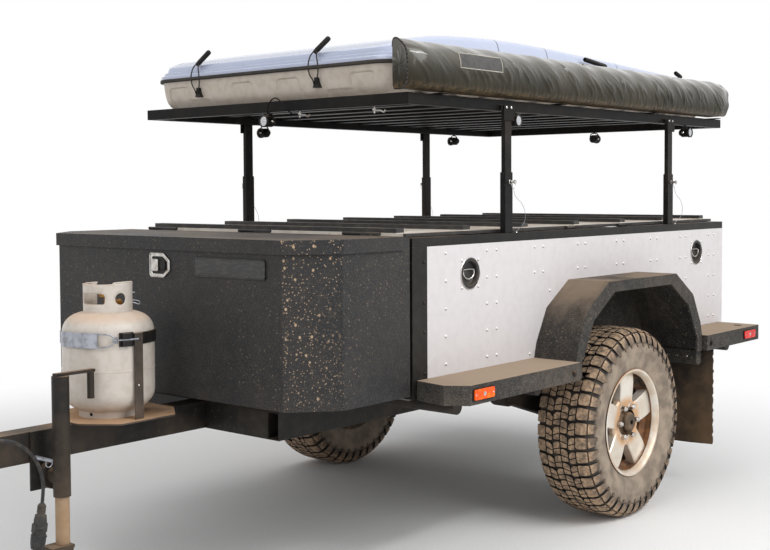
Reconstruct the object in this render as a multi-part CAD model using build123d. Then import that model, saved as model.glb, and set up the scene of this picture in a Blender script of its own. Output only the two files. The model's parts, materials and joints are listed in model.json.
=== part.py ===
from build123d import *
import math
import os

# Off-road trailer. Millimetres. While it is modelled, x is measured forward
# from the wheel axle, y to the left and z up from the ground.
# Every node is then moved back so that the origin lies midway along the part.

# Tub
BODY_HALF = 754
TUB_FRONT = 1291
TUB_REAR = 1210
PANEL_H = 548
PANEL_T = 22
POST_L = 85
POST_W = 50
SHEET = 4
RAIL_H = 33
DECK_LIFT = 2

# Wheels
TYRE_R = 407
TYRE_W = 262
TYRE_OUT = 52
RIM_SEAT_R = 216
RIM_FLANGE_R = 229
RIM_W = 228
RIM_WALL = 7
SPOKES = 5
HUB_R = 42
DRUM_R = 150
STUB_R = 20
AXLE_Z = TYRE_R
TYRE_MID_Y = BODY_HALF + TYRE_OUT

# Chassis
FRAME_LIFT = 222
FRAME_DEPTH = 102
TUBE_WALL = 5
BEAM_W = 76
RAIL_IN = 354
RAIL_W = 60
RAIL_SHORT = 169
TAIL_INSET = 20
CROSS_W = 60
BALL_R = 25.4
NOSE_R = 44
PAD_H = 28
FRAME_TOP = AXLE_Z + FRAME_LIFT
RAIL_Y = BODY_HALF - RAIL_IN
TUB_BOTTOM = FRAME_TOP + PAD_H
PANEL_TOP = TUB_BOTTOM + PANEL_H
RAIL_TOP = PANEL_TOP + RAIL_H

# Fenders and steps
ARCH_MID_X = -35
FENDER_OUT = 197
WHEEL_BOX_GAP = 35
STEP_OUT = 218
STEP_H = 72
STEP_AHEAD = 5
STEP_TAIL = 45
FENDER_Y = BODY_HALF + FENDER_OUT
WHEEL_BOX_Y = TYRE_MID_Y - TYRE_W / 2 - WHEEL_BOX_GAP
STEP_Y = BODY_HALF + STEP_OUT
STEP_TOP = TUB_BOTTOM + STEP_H
STEP_FRONT = TUB_FRONT + STEP_AHEAD
STEP_REAR = TUB_REAR - STEP_TAIL

# Front box
BOX_GAP = 14
BOX_L = 504
BOX_LIFT = 46
BOX_H = 571
BOX_CUT_Y = 130
BOX_CUT_X = 155
BOX_WALL = 8
STRIP_L = 40
LID_SKIRT = 48
LID_OVERHANG = 10
BOX_REAR = TUB_FRONT + BOX_GAP
BOX_FRONT = BOX_REAR + BOX_L
BOX_BOTTOM = FRAME_TOP + BOX_LIFT
BOX_CHAMFER_Y = BODY_HALF - BOX_CUT_Y
BOX_CHAMFER_X = BOX_FRONT - BOX_CUT_X
LID_REAR = BOX_REAR + STRIP_L
LID_TOP = BOX_BOTTOM + BOX_H
LID_BOTTOM = LID_TOP - LID_SKIRT
RAIL_FRONT = BOX_FRONT - RAIL_SHORT
RAIL_REAR = TUB_REAR - TAIL_INSET

# Rack, tent and awning
RACK_SHORT = 11
RACK_TAIL = 25
RACK_H = 42
RACK_INSET = 6
POST_INSET = 18
RACK_POST_X = [684, -658]
LOWER_H = 238
UPPER_H = 239
TENT_SHORT = 15
TENT_TAIL = 42.7
TENT_INSET = 10
TENT_GAP = 34
TRAY_H = 120
AWNING_AHEAD = 40
AWNING_W = 116
AWNING_H = 193
AWNING_INSET = 46
RACK_FRONT = TUB_FRONT - RACK_SHORT
RACK_REAR = TUB_REAR + RACK_TAIL
RACK_POST_Y = BODY_HALF - POST_INSET
RACK_HALF = RACK_POST_Y - RACK_INSET
JOINT_Z = RAIL_TOP + LOWER_H
RACK_Z = JOINT_Z + UPPER_H
AWNING_FRONT = RACK_FRONT + AWNING_AHEAD
AWNING_IN = RACK_HALF - AWNING_INSET
AWNING_OUT = AWNING_IN + AWNING_W
TENT_FRONT = RACK_FRONT - TENT_SHORT
TENT_REAR = RACK_REAR + TENT_TAIL
TENT_RIGHT = RACK_HALF - TENT_INSET
TENT_LEFT = AWNING_IN - TENT_GAP
SEAL_Z = RACK_Z + RACK_H + TRAY_H

# Gas cylinder
CYL_GAP = 75
CYL_R = 158
CYL_H = 462
CYL_X = BOX_FRONT + CYL_GAP + CYL_R

# Jack, standing on its wheel, and the ball ahead of it
JACK_GAP = 278
JACK_OUT = 77
PIVOT_DROP = 148
JACK_TUBE_R = 28.5
JACK_WHEEL_R = 104
JACK_TRAIL = 38
BALL_AHEAD = 630
JACK_X = CYL_X + JACK_GAP
JACK_Y = BEAM_W / 2 + JACK_OUT
JACK_PIVOT_Z = FRAME_TOP - PIVOT_DROP
BALL_X = JACK_X + BALL_AHEAD

# Clearances
FIT = 0.3
RUN = 0.06
MOVE = 5
OVER = 10

# The part's own origin, midway between the coupler's nose and the tail
FRONT_END = BALL_X + NOSE_R
TENT_HINGE_R = 6
TAIL_END = TENT_REAR + 2 * TENT_HINGE_R + FIT
MIDDLE_X = (FRONT_END - TAIL_END) / 2

os.makedirs("parts", exist_ok=True)


def save(node, *shapes):
    """Writes one node, moved so that the origin lies midway along the part."""
    solids = [solid for shape in shapes for solid in shape.solids()]
    body = solids[0] if len(solids) == 1 else Compound(children=solids)
    export_step(Pos(-MIDDLE_X, 0, 0) * body, f"parts/{node}.step")


def block(x0, x1, y0, y1, z0, z1):
    """A box between two opposite corners."""
    size = Box(x1 - x0, y1 - y0, z1 - z0)
    return Pos((x0 + x1) / 2, (y0 + y1) / 2, (z0 + z1) / 2) * size


def rod(start, end, radius):
    """A round bar between two points."""
    run = Vector(*end) - Vector(*start)
    plane = Plane(origin=start, z_dir=run)
    return extrude(plane * Circle(radius), run.length)


def side_plate(points, y0, y1):
    """An outline of (x, z) points, extruded from y0 to y1."""
    face = make_face(Polyline(*[(x, y0, z) for x, z in points], close=True))
    return extrude(face, amount=y1 - y0, dir=(0, 1, 0))


def floor_plate(points, z0, z1):
    """An outline of (x, y) points, extruded from z0 to z1."""
    face = make_face(Polyline(*[(x, y, z0) for x, y in points], close=True))
    return extrude(face, amount=z1 - z0, dir=(0, 0, 1))


def box_tube(x0, x1, y0, y1, z0, z1, wall, along):
    """A rectangular tube, open at the ends of its long direction."""
    low = [x0, y0, z0]
    high = [x1, y1, z1]
    for axis in range(3):
        if axis != along:
            low[axis] += wall
            high[axis] -= wall
        else:
            low[axis] -= OVER
            high[axis] += OVER
    bore = block(low[0], high[0], low[1], high[1], low[2], high[2])
    return block(x0, x1, y0, y1, z0, z1) - bore


def twin(shape):
    """The mirrored piece on the right-hand side."""
    return mirror(shape, about=Plane.XZ)


def pair(shape):
    """The left piece and its mirrored twin."""
    return [shape, twin(shape)]


# Wheels: a tyre with its cavity, a rim with spokes and a hub with its drum

# Tyre: the crown's share of its half width, the radii of bulge and slope, and the wall
CROWN_SHARE = 0.75
BULGE_R = 330
CASE_T = 14
GROOVE = 12
SLOPE_R = 347

# Tread: flats round the carcass, and on each a lug a side and a slanted crown block
PITCHES = 28
LUG_HALF = 30
LUG_DROP = 5
CROWN_BLOCK_HALF = 27
CROWN_BLOCK_SLANT = 19
CROWN_BLOCK_Y = 50
crown_r = TYRE_R - GROOVE
lug_r = math.sqrt(TYRE_R ** 2 - LUG_HALF ** 2)
block_r = math.sqrt(TYRE_R ** 2 - (CROWN_BLOCK_HALF + CROWN_BLOCK_SLANT) ** 2)

# Shoulder lug's section as (y, radius), its foot inside the carcass
SHOULDER_LUG = [
    (60, crown_r - GROOVE / 2),
    (60, lug_r),
    (108, lug_r - LUG_DROP),
    (130, SLOPE_R),
    (98, crown_r - GROOVE / 2),
]

# Crown block's plan as (x, y)
CROWN_BLOCK = [
    (CROWN_BLOCK_SLANT - CROWN_BLOCK_HALF, CROWN_BLOCK_Y),
    (CROWN_BLOCK_SLANT + CROWN_BLOCK_HALF, CROWN_BLOCK_Y),
    (CROWN_BLOCK_HALF - CROWN_BLOCK_SLANT, -CROWN_BLOCK_Y),
    (-CROWN_BLOCK_HALF - CROWN_BLOCK_SLANT, -CROWN_BLOCK_Y),
]


def wheel_turn(points):
    """Revolves an outline of (y, radius) points about the wheel's axle line."""
    outline = Polyline(*[(0, y, AXLE_Z + r) for y, r in points], close=True)
    axle = Axis((0, 0, AXLE_Z), (0, 1, 0))
    return revolve(make_face(outline), axle)


def make_tread():
    """The flats round the crown and their slopes to the walls, with the lugs on them."""
    crown_y = TYRE_W / 2 * CROWN_SHARE
    slope_y = TYRE_W / 2
    axle = Axis((0, 0, AXLE_Z), (0, 1, 0))
    pitch = 360 / PITCHES
    flats = RegularPolygon(crown_r, PITCHES, major_radius=False)
    side = Plane(origin=(0, crown_y, AXLE_Z), x_dir=(1, 0, 0), z_dir=(0, 1, 0))
    middle = extrude(side * flats, amount=2 * crown_y, dir=(0, -1, 0))
    lean = math.degrees(math.atan2(crown_r - SLOPE_R, slope_y - crown_y))
    slope = extrude(side * flats, amount=slope_y - crown_y, taper=lean)
    section = [(-LUG_HALF, y, AXLE_Z + r) for y, r in SHOULDER_LUG]
    face = make_face(Polyline(*section, close=True))
    lug = extrude(face, amount=2 * LUG_HALF, dir=(1, 0, 0))
    block = floor_plate(CROWN_BLOCK, AXLE_Z + crown_r - GROOVE / 2, AXLE_Z + block_r)
    lugs = []
    for number in range(PITCHES):
        lugs.append(lug.rotate(axle, number * pitch))
        lugs.append(twin(lug).rotate(axle, (number + 0.5) * pitch))
        lugs.append(block.rotate(axle, (number + 0.25) * pitch))
    wall_mid_r = crown_r - GROOVE - CASE_T / 2
    half = TYRE_W / 2
    core = wheel_turn([(-half, 0), (-half, BULGE_R), (-crown_y, wall_mid_r),
                       (crown_y, wall_mid_r), (half, BULGE_R), (half, 0)])
    return middle + slope + twin(slope) - core, lugs


def make_tyre():
    half = TYRE_W / 2
    crown_y = half * CROWN_SHARE
    bead_in = RIM_SEAT_R + FIT
    bead_out = RIM_FLANGE_R + FIT
    heel_y = RIM_W / 2 - RIM_WALL - FIT
    toe_y = heel_y - CASE_T
    outer = [
        (-heel_y, bead_in),
        (-heel_y, bead_out),
        (-half, BULGE_R),
        (-crown_y, crown_r - GROOVE),
        (crown_y, crown_r - GROOVE),
        (half, BULGE_R),
        (heel_y, bead_out),
        (heel_y, bead_in),
    ]
    inner = [
        (toe_y, bead_in),
        (half - CASE_T, BULGE_R),
        (crown_y, crown_r - GROOVE - CASE_T),
        (-crown_y, crown_r - GROOVE - CASE_T),
        (-half + CASE_T, BULGE_R),
        (-toe_y, bead_in),
    ]
    flats, lugs = make_tread()
    return Pos(0, TYRE_MID_Y, 0) * (wheel_turn(outer + inner) + flats + lugs)


DISC_OUT = 86
DISC_T = 34
DISC_BORE_R = 56
WINDOW_IN_R = 92
WINDOW_OUT_R = 196
WINDOW_IN_HALF = 12
WINDOW_OUT_HALF = 66
WELL_R = 186
WELL_EDGE_SHARE = 0.45
WELL_FLAT_SHARE = 0.25
BOLT_FACE = 40


def make_rim():
    half = RIM_W / 2
    lip = RIM_WALL
    edge = half * WELL_EDGE_SHARE
    flat = half * WELL_FLAT_SHARE
    barrel = wheel_turn([
        (-half, RIM_FLANGE_R),
        (-half + lip, RIM_FLANGE_R),
        (-half + lip, RIM_SEAT_R),
        (-edge, RIM_SEAT_R),
        (-flat, WELL_R + RIM_WALL),
        (flat, WELL_R + RIM_WALL),
        (edge, RIM_SEAT_R),
        (half - lip, RIM_SEAT_R),
        (half - lip, RIM_FLANGE_R),
        (half, RIM_FLANGE_R),
        (half, RIM_SEAT_R - RIM_WALL),
        (edge, RIM_SEAT_R - RIM_WALL),
        (flat, WELL_R),
        (-flat, WELL_R),
        (-edge, RIM_SEAT_R - RIM_WALL),
        (-half, RIM_SEAT_R - RIM_WALL),
    ])
    disc_in = DISC_OUT - DISC_T
    disc = wheel_turn([
        (disc_in, DISC_BORE_R),
        (disc_in, RIM_SEAT_R - RIM_WALL),
        (DISC_OUT, RIM_SEAT_R - RIM_WALL),
        (DISC_OUT, DISC_BORE_R),
    ])
    window = side_plate([
        (-WINDOW_IN_HALF, AXLE_Z + WINDOW_IN_R),
        (-WINDOW_OUT_HALF, AXLE_Z + WINDOW_OUT_R),
        (WINDOW_OUT_HALF, AXLE_Z + WINDOW_OUT_R),
        (WINDOW_IN_HALF, AXLE_Z + WINDOW_IN_R),
    ], disc_in - OVER, DISC_OUT + OVER)
    axle = Axis((0, 0, AXLE_Z), (0, 1, 0))
    for spoke in range(SPOKES):
        disc -= window.rotate(axle, 360 * spoke / SPOKES)
    return Pos(0, TYRE_MID_Y, 0) * (barrel + disc)


HUB_BACK = 106
HUB_AHEAD = 106
STUB_AHEAD = 64
DRUM_W = 56
FLANGE_T = 10
HUB_IN = TYRE_MID_Y - HUB_BACK
HUB_CAP_Y = TYRE_MID_Y + HUB_AHEAD
STUB_END = TYRE_MID_Y + STUB_AHEAD


def make_hub():
    """Brake drum, wheel flange, barrel and cap, bored for the stub axle."""
    seat = TYRE_MID_Y + DISC_OUT - DISC_T
    axle = Axis((0, 0, AXLE_Z), (0, 1, 0))
    bore = STUB_R + RUN
    outline = Polyline(*[(0, y, AXLE_Z + r) for y, r in [
        (HUB_IN, bore),
        (HUB_IN, DRUM_R),
        (HUB_IN + DRUM_W, DRUM_R),
        (HUB_IN + DRUM_W + FLANGE_T, HUB_R + FLANGE_T),
        (seat - FLANGE_T, HUB_R + FLANGE_T),
        (seat - FLANGE_T, DISC_BORE_R + BOLT_FACE),
        (seat, DISC_BORE_R + BOLT_FACE),
        (seat, HUB_R),
        (HUB_CAP_Y - FLANGE_T, HUB_R),
        (HUB_CAP_Y, HUB_R - FLANGE_T),
        (HUB_CAP_Y, 0),
        (STUB_END + FIT, 0),
        (STUB_END + FIT, bore),
    ]], close=True)
    return revolve(make_face(outline), axle)


tyre = make_tyre()
rim = make_rim()
hub = make_hub()
for side, turn in (("left", lambda s: s), ("right", twin)):
    save(f"tyre_{side}", turn(tyre))
    save(f"rim_{side}", turn(rim))
    save(f"hub_{side}", turn(hub))

# Suspension: a trailing arm each side, with its stub axle, spring and damper
ARM_GAP = 90
ARM_W = 70
ARM_PIVOT_X = 480
ARM_PIVOT_DROP = 69
ARM_OUT = HUB_IN - ARM_GAP
ARM_IN = ARM_OUT - ARM_W
ARM_PIVOT_Z = FRAME_TOP - ARM_PIVOT_DROP
ARM_EYE_R = 52
ARM_PIVOT_R = 30
ARM_H = 76
ARM_TAIL = 60
SPRING_X = 190
SPRING_R = 62
PERCH_T = 12
DAMPER_R = 24
DAMPER_PIN_R = 9
DAMPER_TOP_X = -230
DAMPER_FOOT_X = -30

frame_bottom = FRAME_TOP - FRAME_DEPTH
arm_slope = (ARM_PIVOT_Z - AXLE_Z) / ARM_PIVOT_X


def arm_top(x):
    """Height of the arm's upper edge at x."""
    return AXLE_Z + ARM_H / 2 + arm_slope * x


arm = side_plate([
    (-ARM_TAIL, arm_top(-ARM_TAIL) - ARM_H),
    (-ARM_TAIL, arm_top(-ARM_TAIL)),
    (ARM_PIVOT_X, arm_top(ARM_PIVOT_X)),
    (ARM_PIVOT_X, arm_top(ARM_PIVOT_X) - ARM_H),
], ARM_IN, ARM_OUT)
arm += rod((ARM_PIVOT_X, ARM_IN, ARM_PIVOT_Z), (ARM_PIVOT_X, ARM_OUT, ARM_PIVOT_Z), ARM_EYE_R)
arm -= rod((ARM_PIVOT_X, ARM_IN - OVER, ARM_PIVOT_Z),
           (ARM_PIVOT_X, ARM_OUT + OVER, ARM_PIVOT_Z), ARM_PIVOT_R + FIT)
save("trailing_arms", *pair(arm))

pivot = rod((ARM_PIVOT_X, RAIL_Y + RAIL_W / 2, ARM_PIVOT_Z),
            (ARM_PIVOT_X, ARM_OUT + OVER, ARM_PIVOT_Z), ARM_PIVOT_R)

BACKPLATE_T = 6
BACKPLATE_R = 155
stub = rod((0, ARM_OUT, AXLE_Z), (0, STUB_END, AXLE_Z), STUB_R)
backplate_y = HUB_IN - MOVE
stub += rod((0, backplate_y - BACKPLATE_T, AXLE_Z), (0, backplate_y, AXLE_Z), BACKPLATE_R)
save("stub_axles", *pair(stub))

spring_y = (ARM_IN + ARM_OUT) / 2
spring_z = arm_top(SPRING_X)
perch = block(SPRING_X - SPRING_R, SPRING_X + SPRING_R, RAIL_Y + RAIL_W / 2, ARM_OUT,
              FRAME_TOP - PERCH_T, FRAME_TOP)
save("suspension_mounts", *pair(pivot), *pair(perch))
spring = rod((SPRING_X, spring_y, spring_z - ARM_H / 2),
             (SPRING_X, spring_y, FRAME_TOP - PERCH_T), SPRING_R)
spring -= side_plate([
    (-ARM_TAIL, arm_top(-ARM_TAIL) - 2 * ARM_H),
    (-ARM_TAIL, arm_top(-ARM_TAIL)),
    (ARM_PIVOT_X, arm_top(ARM_PIVOT_X)),
    (ARM_PIVOT_X, arm_top(ARM_PIVOT_X) - 2 * ARM_H),
], ARM_IN - SPRING_R, ARM_OUT + SPRING_R)
save("air_springs", *pair(spring))

damper_y = ARM_IN - DAMPER_R - FIT
damper_foot = (DAMPER_FOOT_X, damper_y, AXLE_Z)
damper_head = (DAMPER_TOP_X, damper_y, FRAME_TOP - DAMPER_R)
damper = rod(damper_foot, damper_head, DAMPER_R)
damper += rod((DAMPER_FOOT_X, damper_y, AXLE_Z), (DAMPER_FOOT_X, ARM_IN, AXLE_Z), DAMPER_PIN_R)
damper += rod((DAMPER_TOP_X, RAIL_Y + RAIL_W / 2, damper_head[2]), damper_head, DAMPER_PIN_R)
save("dampers", *pair(damper))

# Chassis: a drawbar, two rails, cross members, side outriggers and body pads
CROSS_AHEAD = [480, -330]
CROSS_FRONT_INSET = 151
CROSS_REAR_INSET = 30
CROSS_X = [RAIL_FRONT - CROSS_W / 2, TUB_FRONT - CROSS_FRONT_INSET, *CROSS_AHEAD,
           -RAIL_REAR + CROSS_REAR_INSET]
beam_rear = CROSS_X[1] + CROSS_W / 2
NOSE_L = 150
COUPLER_REAR = BALL_X - NOSE_L
beam = box_tube(beam_rear, COUPLER_REAR, -BEAM_W / 2, BEAM_W / 2,
                frame_bottom, FRAME_TOP, TUBE_WALL, 0)
save("drawbar", beam)

frame_rail = box_tube(-RAIL_REAR, RAIL_FRONT, RAIL_Y - RAIL_W / 2, RAIL_Y + RAIL_W / 2,
                      frame_bottom, FRAME_TOP, TUBE_WALL, 0)
save("frame_rails", *pair(frame_rail))

cross_in = RAIL_Y - RAIL_W / 2
crosses = []
for number, x in enumerate(CROSS_X):
    split = number == 0
    inner = BEAM_W / 2 if split else -cross_in
    tube = box_tube(x - CROSS_W / 2, x + CROSS_W / 2, inner, cross_in,
                    frame_bottom, FRAME_TOP, TUBE_WALL, 1)
    crosses += pair(tube) if split else [tube]

OUTRIGGER_R = 28
OUTRIGGER_INSETS = [136, 105]
OUTRIGGER_OUT = 100
ARCH_REACH = 550
OUTRIGGER_GAPS = [125, 115]
OUTRIGGER_X = [STEP_FRONT - OUTRIGGER_INSETS[0], ARCH_MID_X + ARCH_REACH + OUTRIGGER_GAPS[0],
               ARCH_MID_X - ARCH_REACH - OUTRIGGER_GAPS[1], -STEP_REAR + OUTRIGGER_INSETS[1]]
outrigger_z = TUB_BOTTOM - OUTRIGGER_R
outrigger_out = BODY_HALF + OUTRIGGER_OUT
outriggers = []
for x in OUTRIGGER_X:
    tube = rod((x, RAIL_Y + RAIL_W / 2, outrigger_z), (x, outrigger_out, outrigger_z), OUTRIGGER_R)
    outriggers += pair(tube)
save("step_outriggers", *outriggers)

PAD = 56
pads = []
for x in CROSS_X[1:]:
    pads += pair(block(x - PAD / 2, x + PAD / 2, RAIL_Y - PAD / 2, RAIL_Y + PAD / 2,
                       FRAME_TOP, TUB_BOTTOM))
for x in (RAIL_FRONT - PAD, BOX_REAR + PAD):
    pads += pair(block(x - PAD / 2, x + PAD / 2, RAIL_Y - PAD / 2, RAIL_Y + PAD / 2,
                       FRAME_TOP, BOX_BOTTOM))
save("cross_members", *crosses, *pads)

# Coupler with its ball socket and locking lever
BALL_DROP = 109
BALL_Z = FRAME_TOP - BALL_DROP
SOCKET_DEPTH = 34
COUPLER_W = 90
CAP_H = 16
coupler_top = FRAME_TOP + SHEET
coupler_low = BALL_Z - BALL_R
sleeve = block(COUPLER_REAR - NOSE_L, COUPLER_REAR, -BEAM_W / 2 - SHEET, BEAM_W / 2 + SHEET,
               frame_bottom - SHEET, coupler_top)
sleeve -= block(COUPLER_REAR - NOSE_L - OVER, COUPLER_REAR, -BEAM_W / 2, BEAM_W / 2,
                frame_bottom, FRAME_TOP)
head_top = BALL_Z + SOCKET_DEPTH + CAP_H
neck = side_plate([
    (COUPLER_REAR, frame_bottom - SHEET),
    (COUPLER_REAR, coupler_top),
    (BALL_X - NOSE_R, head_top),
    (BALL_X, head_top),
    (BALL_X, coupler_low),
    (BALL_X - NOSE_R, coupler_low),
], -COUPLER_W / 2, COUPLER_W / 2)
nose = rod((BALL_X, 0, coupler_low), (BALL_X, 0, head_top), NOSE_R)
socket = rod((BALL_X, 0, coupler_low - OVER), (BALL_X, 0, BALL_Z + SOCKET_DEPTH - SHEET),
             BALL_R + FIT)
GLAND_BACK = 180
GLAND_DROP = 39
GLAND_X = BALL_X - GLAND_BACK
GLAND_Z = FRAME_TOP - GLAND_DROP
GLAND_R = 13
GLAND_L = 22
gland_y = BEAM_W / 2 + SHEET + GLAND_L
gland = rod((GLAND_X, BEAM_W / 2 + SHEET, GLAND_Z), (GLAND_X, gland_y, GLAND_Z), GLAND_R)

LEVER_W = 22
LEVER_L = 120
LEVER_T = 10
LEVER_RISE = 26
lever_x = BALL_X - NOSE_R / 2
lever = side_plate([
    (lever_x, head_top),
    (lever_x - NOSE_R / 2, head_top),
    (lever_x - NOSE_R, head_top + LEVER_RISE + NOSE_R),
    (lever_x - LEVER_L, coupler_top + LEVER_RISE + LEVER_T),
    (lever_x - LEVER_L, coupler_top + LEVER_RISE + 2 * LEVER_T),
    (lever_x - NOSE_R, head_top + LEVER_RISE + NOSE_R + LEVER_T),
    (lever_x, head_top + LEVER_RISE),
], -LEVER_W / 2, LEVER_W / 2)
save("coupler", sleeve + neck + nose + gland - socket, lever)

# Tub: floor, walls, corner posts, top rail and the rear opening's frame

# Wheel arch as (half its width, height above the tub's bottom)
ARCH = [
    (ARCH_REACH, 0),
    (ARCH_REACH, STEP_H),
    (534, 133),
    (459, 268),
    (293, 373),
]


def arch_outline(inset, low):
    """The arch as (x, z) points, drawn in by an inset and cut off at low."""
    right = []
    for half, rise in ARCH:
        drop = inset if half < ARCH_REACH else 0
        right.append((half - inset, TUB_BOTTOM + rise - drop))
    right[0] = (right[0][0], low)
    points = [(ARCH_MID_X + half, z) for half, z in right]
    points += [(ARCH_MID_X - half, z) for half, z in reversed(right)]
    return points


floor_in = WHEEL_BOX_Y - SHEET
floor_half = BODY_HALF - PANEL_T
floor = block(-TUB_REAR, TUB_FRONT, -floor_half, floor_half, TUB_BOTTOM, TUB_BOTTOM + SHEET)
for wheel_bay in pair(block(ARCH_MID_X - ARCH_REACH, ARCH_MID_X + ARCH_REACH, floor_in,
                            BODY_HALF, TUB_BOTTOM - OVER, TUB_BOTTOM + OVER)):
    floor -= wheel_bay
save("tub_floor", floor)

CUP_INSETS = [343, 290]
CUP_DROP = 111
CUP_X = [TUB_FRONT - CUP_INSETS[0], -TUB_REAR + CUP_INSETS[1]]
CUP_Z = PANEL_TOP - CUP_DROP
CUP_R = 46
CUP_FLANGE_R = 61
CUP_DEPTH = 18
CUP_WALL = 3
CUP_LIP = 3
wall_z0 = TUB_BOTTOM
side = block(-TUB_REAR, TUB_FRONT - POST_L, floor_half, BODY_HALF, wall_z0, PANEL_TOP)
side -= side_plate(arch_outline(0, TUB_BOTTOM - OVER), floor_half - OVER, BODY_HALF + OVER)
for x in CUP_X:
    side -= rod((x, BODY_HALF - CUP_DEPTH, CUP_Z), (x, BODY_HALF + OVER, CUP_Z), CUP_R + FIT)
save("side_panel_left", side)
save("side_panel_right", twin(side))

cups = []
for x in CUP_X:
    cup = rod((x, BODY_HALF - CUP_DEPTH, CUP_Z), (x, BODY_HALF, CUP_Z), CUP_R)
    cup += rod((x, BODY_HALF, CUP_Z), (x, BODY_HALF + CUP_LIP, CUP_Z), CUP_FLANGE_R)
    cup -= rod((x, BODY_HALF - CUP_DEPTH + CUP_WALL, CUP_Z), (x, BODY_HALF + OVER, CUP_Z),
               CUP_R - CUP_WALL)
    cup += rod((x - CUP_R + CUP_WALL, BODY_HALF - CUP_WALL, CUP_Z),
               (x + CUP_R - CUP_WALL, BODY_HALF - CUP_WALL, CUP_Z), CUP_WALL)
    cups += pair(cup)
save("tie_down_cups", *cups)

front_post = box_tube(TUB_FRONT - POST_L, TUB_FRONT, BODY_HALF - POST_W, BODY_HALF,
                      TUB_BOTTOM + SHEET, PANEL_TOP, SHEET, 2)
floor_post = front_post - block(TUB_FRONT - POST_L - OVER, TUB_FRONT + OVER, 0, floor_half,
                                TUB_BOTTOM - OVER, TUB_BOTTOM + SHEET)
save("corner_posts", *pair(floor_post))

wall_half = BODY_HALF - POST_W
front_wall = block(TUB_FRONT - PANEL_T, TUB_FRONT, -wall_half, wall_half,
                   TUB_BOTTOM + SHEET, PANEL_TOP)
save("front_wall", front_wall)

REAR_POST = 50
SILL_H = 46
rear_in = floor_half - REAR_POST
sill_z = TUB_BOTTOM + SHEET + SILL_H
rear_frame = block(-TUB_REAR, -TUB_REAR + REAR_POST, -floor_half, floor_half,
                   TUB_BOTTOM + SHEET, PANEL_TOP)
rear_frame -= block(-TUB_REAR - OVER, -TUB_REAR + REAR_POST + OVER, -rear_in, rear_in,
                    sill_z, PANEL_TOP + OVER)

RAIL_BAR_W = 50
rail_in = BODY_HALF - RAIL_BAR_W
top_rail = block(-TUB_REAR, TUB_FRONT, -BODY_HALF, BODY_HALF, PANEL_TOP, RAIL_TOP)
top_rail -= block(-TUB_REAR + RAIL_BAR_W, TUB_FRONT - RAIL_BAR_W, -rail_in, rail_in,
                  PANEL_TOP - OVER, RAIL_TOP + OVER)
HINGE_X = [145, -285]
HINGE_L = 120
HINGE_R = 7
hinge_y = rail_in + HINGE_R
hinge_z = RAIL_TOP + HINGE_R + FIT
for x in HINGE_X:
    top_rail += rod((x - HINGE_L / 2, hinge_y, hinge_z), (x - FIT, hinge_y, hinge_z), HINGE_R)
    top_rail += block(x - HINGE_L / 2, x - FIT, hinge_y, hinge_y + HINGE_R, RAIL_TOP, hinge_z)
save("top_rail", top_rail)

# Deck cover: a panel with raised cross ribs, hinged along the left rail
DECK_T = 12
RIB_W = 44
RIB_H = 18
RIBS = 7
deck_z = RAIL_TOP + DECK_LIFT
deck_left = rail_in - FIT
deck_front = TUB_FRONT - RAIL_BAR_W / 2
deck_rear = -TUB_REAR + RAIL_BAR_W / 2
deck = block(deck_rear, deck_front, -rail_in, deck_left, deck_z, deck_z + DECK_T)
rib_step = (deck_front - deck_rear - RIB_W) / (RIBS - 1)
for number in range(RIBS):
    x = deck_rear + number * rib_step
    deck += block(x, x + RIB_W, -rail_in, deck_left - RIB_W, deck_z + DECK_T,
                  deck_z + DECK_T + RIB_H)
for x in HINGE_X:
    deck += rod((x + FIT, hinge_y, hinge_z), (x + HINGE_L / 2, hinge_y, hinge_z), HINGE_R)
    deck += block(x + FIT, x + HINGE_L / 2, deck_left, hinge_y, hinge_z, deck_z + DECK_T)
save("deck_cover", deck)

# Tailgate, hinged along the sill, with its latch
GATE_T = 28
gate_half = rear_in - MOVE
gate_z = sill_z + MOVE
gate = block(-TUB_REAR, -TUB_REAR + GATE_T, -gate_half, gate_half, gate_z, PANEL_TOP - MOVE)
gate_hinge_x = -TUB_REAR - HINGE_R - FIT
gate_hinge_z = sill_z + MOVE / 2
GATE_HINGE_SHARES = [-0.71, 0, 0.71]
gate_hinge_y = [share * gate_half for share in GATE_HINGE_SHARES]
for y in gate_hinge_y:
    gate += rod((gate_hinge_x, y + FIT, gate_hinge_z),
                (gate_hinge_x, y + HINGE_L / 2, gate_hinge_z), HINGE_R)
    gate += block(gate_hinge_x, -TUB_REAR, y + FIT, y + HINGE_L / 2, gate_hinge_z,
                  gate_z + 2 * HINGE_R)
save("tailgate", gate)

for y in gate_hinge_y:
    rear_frame += rod((gate_hinge_x, y - HINGE_L / 2, gate_hinge_z),
                      (gate_hinge_x, y - FIT, gate_hinge_z), HINGE_R)
    rear_frame += block(gate_hinge_x, -TUB_REAR, y - HINGE_L / 2, y - FIT,
                        sill_z - 2 * HINGE_R, gate_hinge_z)
save("rear_frame", rear_frame)

LATCH_W = 120
LATCH_H = 84
LATCH_T = 5
GRIP_R = 7
latch_z = PANEL_TOP - LATCH_H
gate_latch = block(-TUB_REAR - LATCH_T, -TUB_REAR, -LATCH_W / 2, LATCH_W / 2,
                   latch_z - LATCH_H / 2, latch_z + LATCH_H / 2)
gate_latch += rod((-TUB_REAR - 2 * GRIP_R, -LATCH_W / 4, latch_z),
                  (-TUB_REAR - 2 * GRIP_R, LATCH_W / 4, latch_z), GRIP_R)
for y in (-LATCH_W / 4, LATCH_W / 4):
    gate_latch += rod((-TUB_REAR - 2 * GRIP_R, y, latch_z), (-TUB_REAR, y, latch_z), GRIP_R)
save("tailgate_latch", gate_latch)

# Fenders: the folded arch, its wheel-box wall inside the tub and its outer lip
LIP_H = 46
LIP_T = 12


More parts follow.
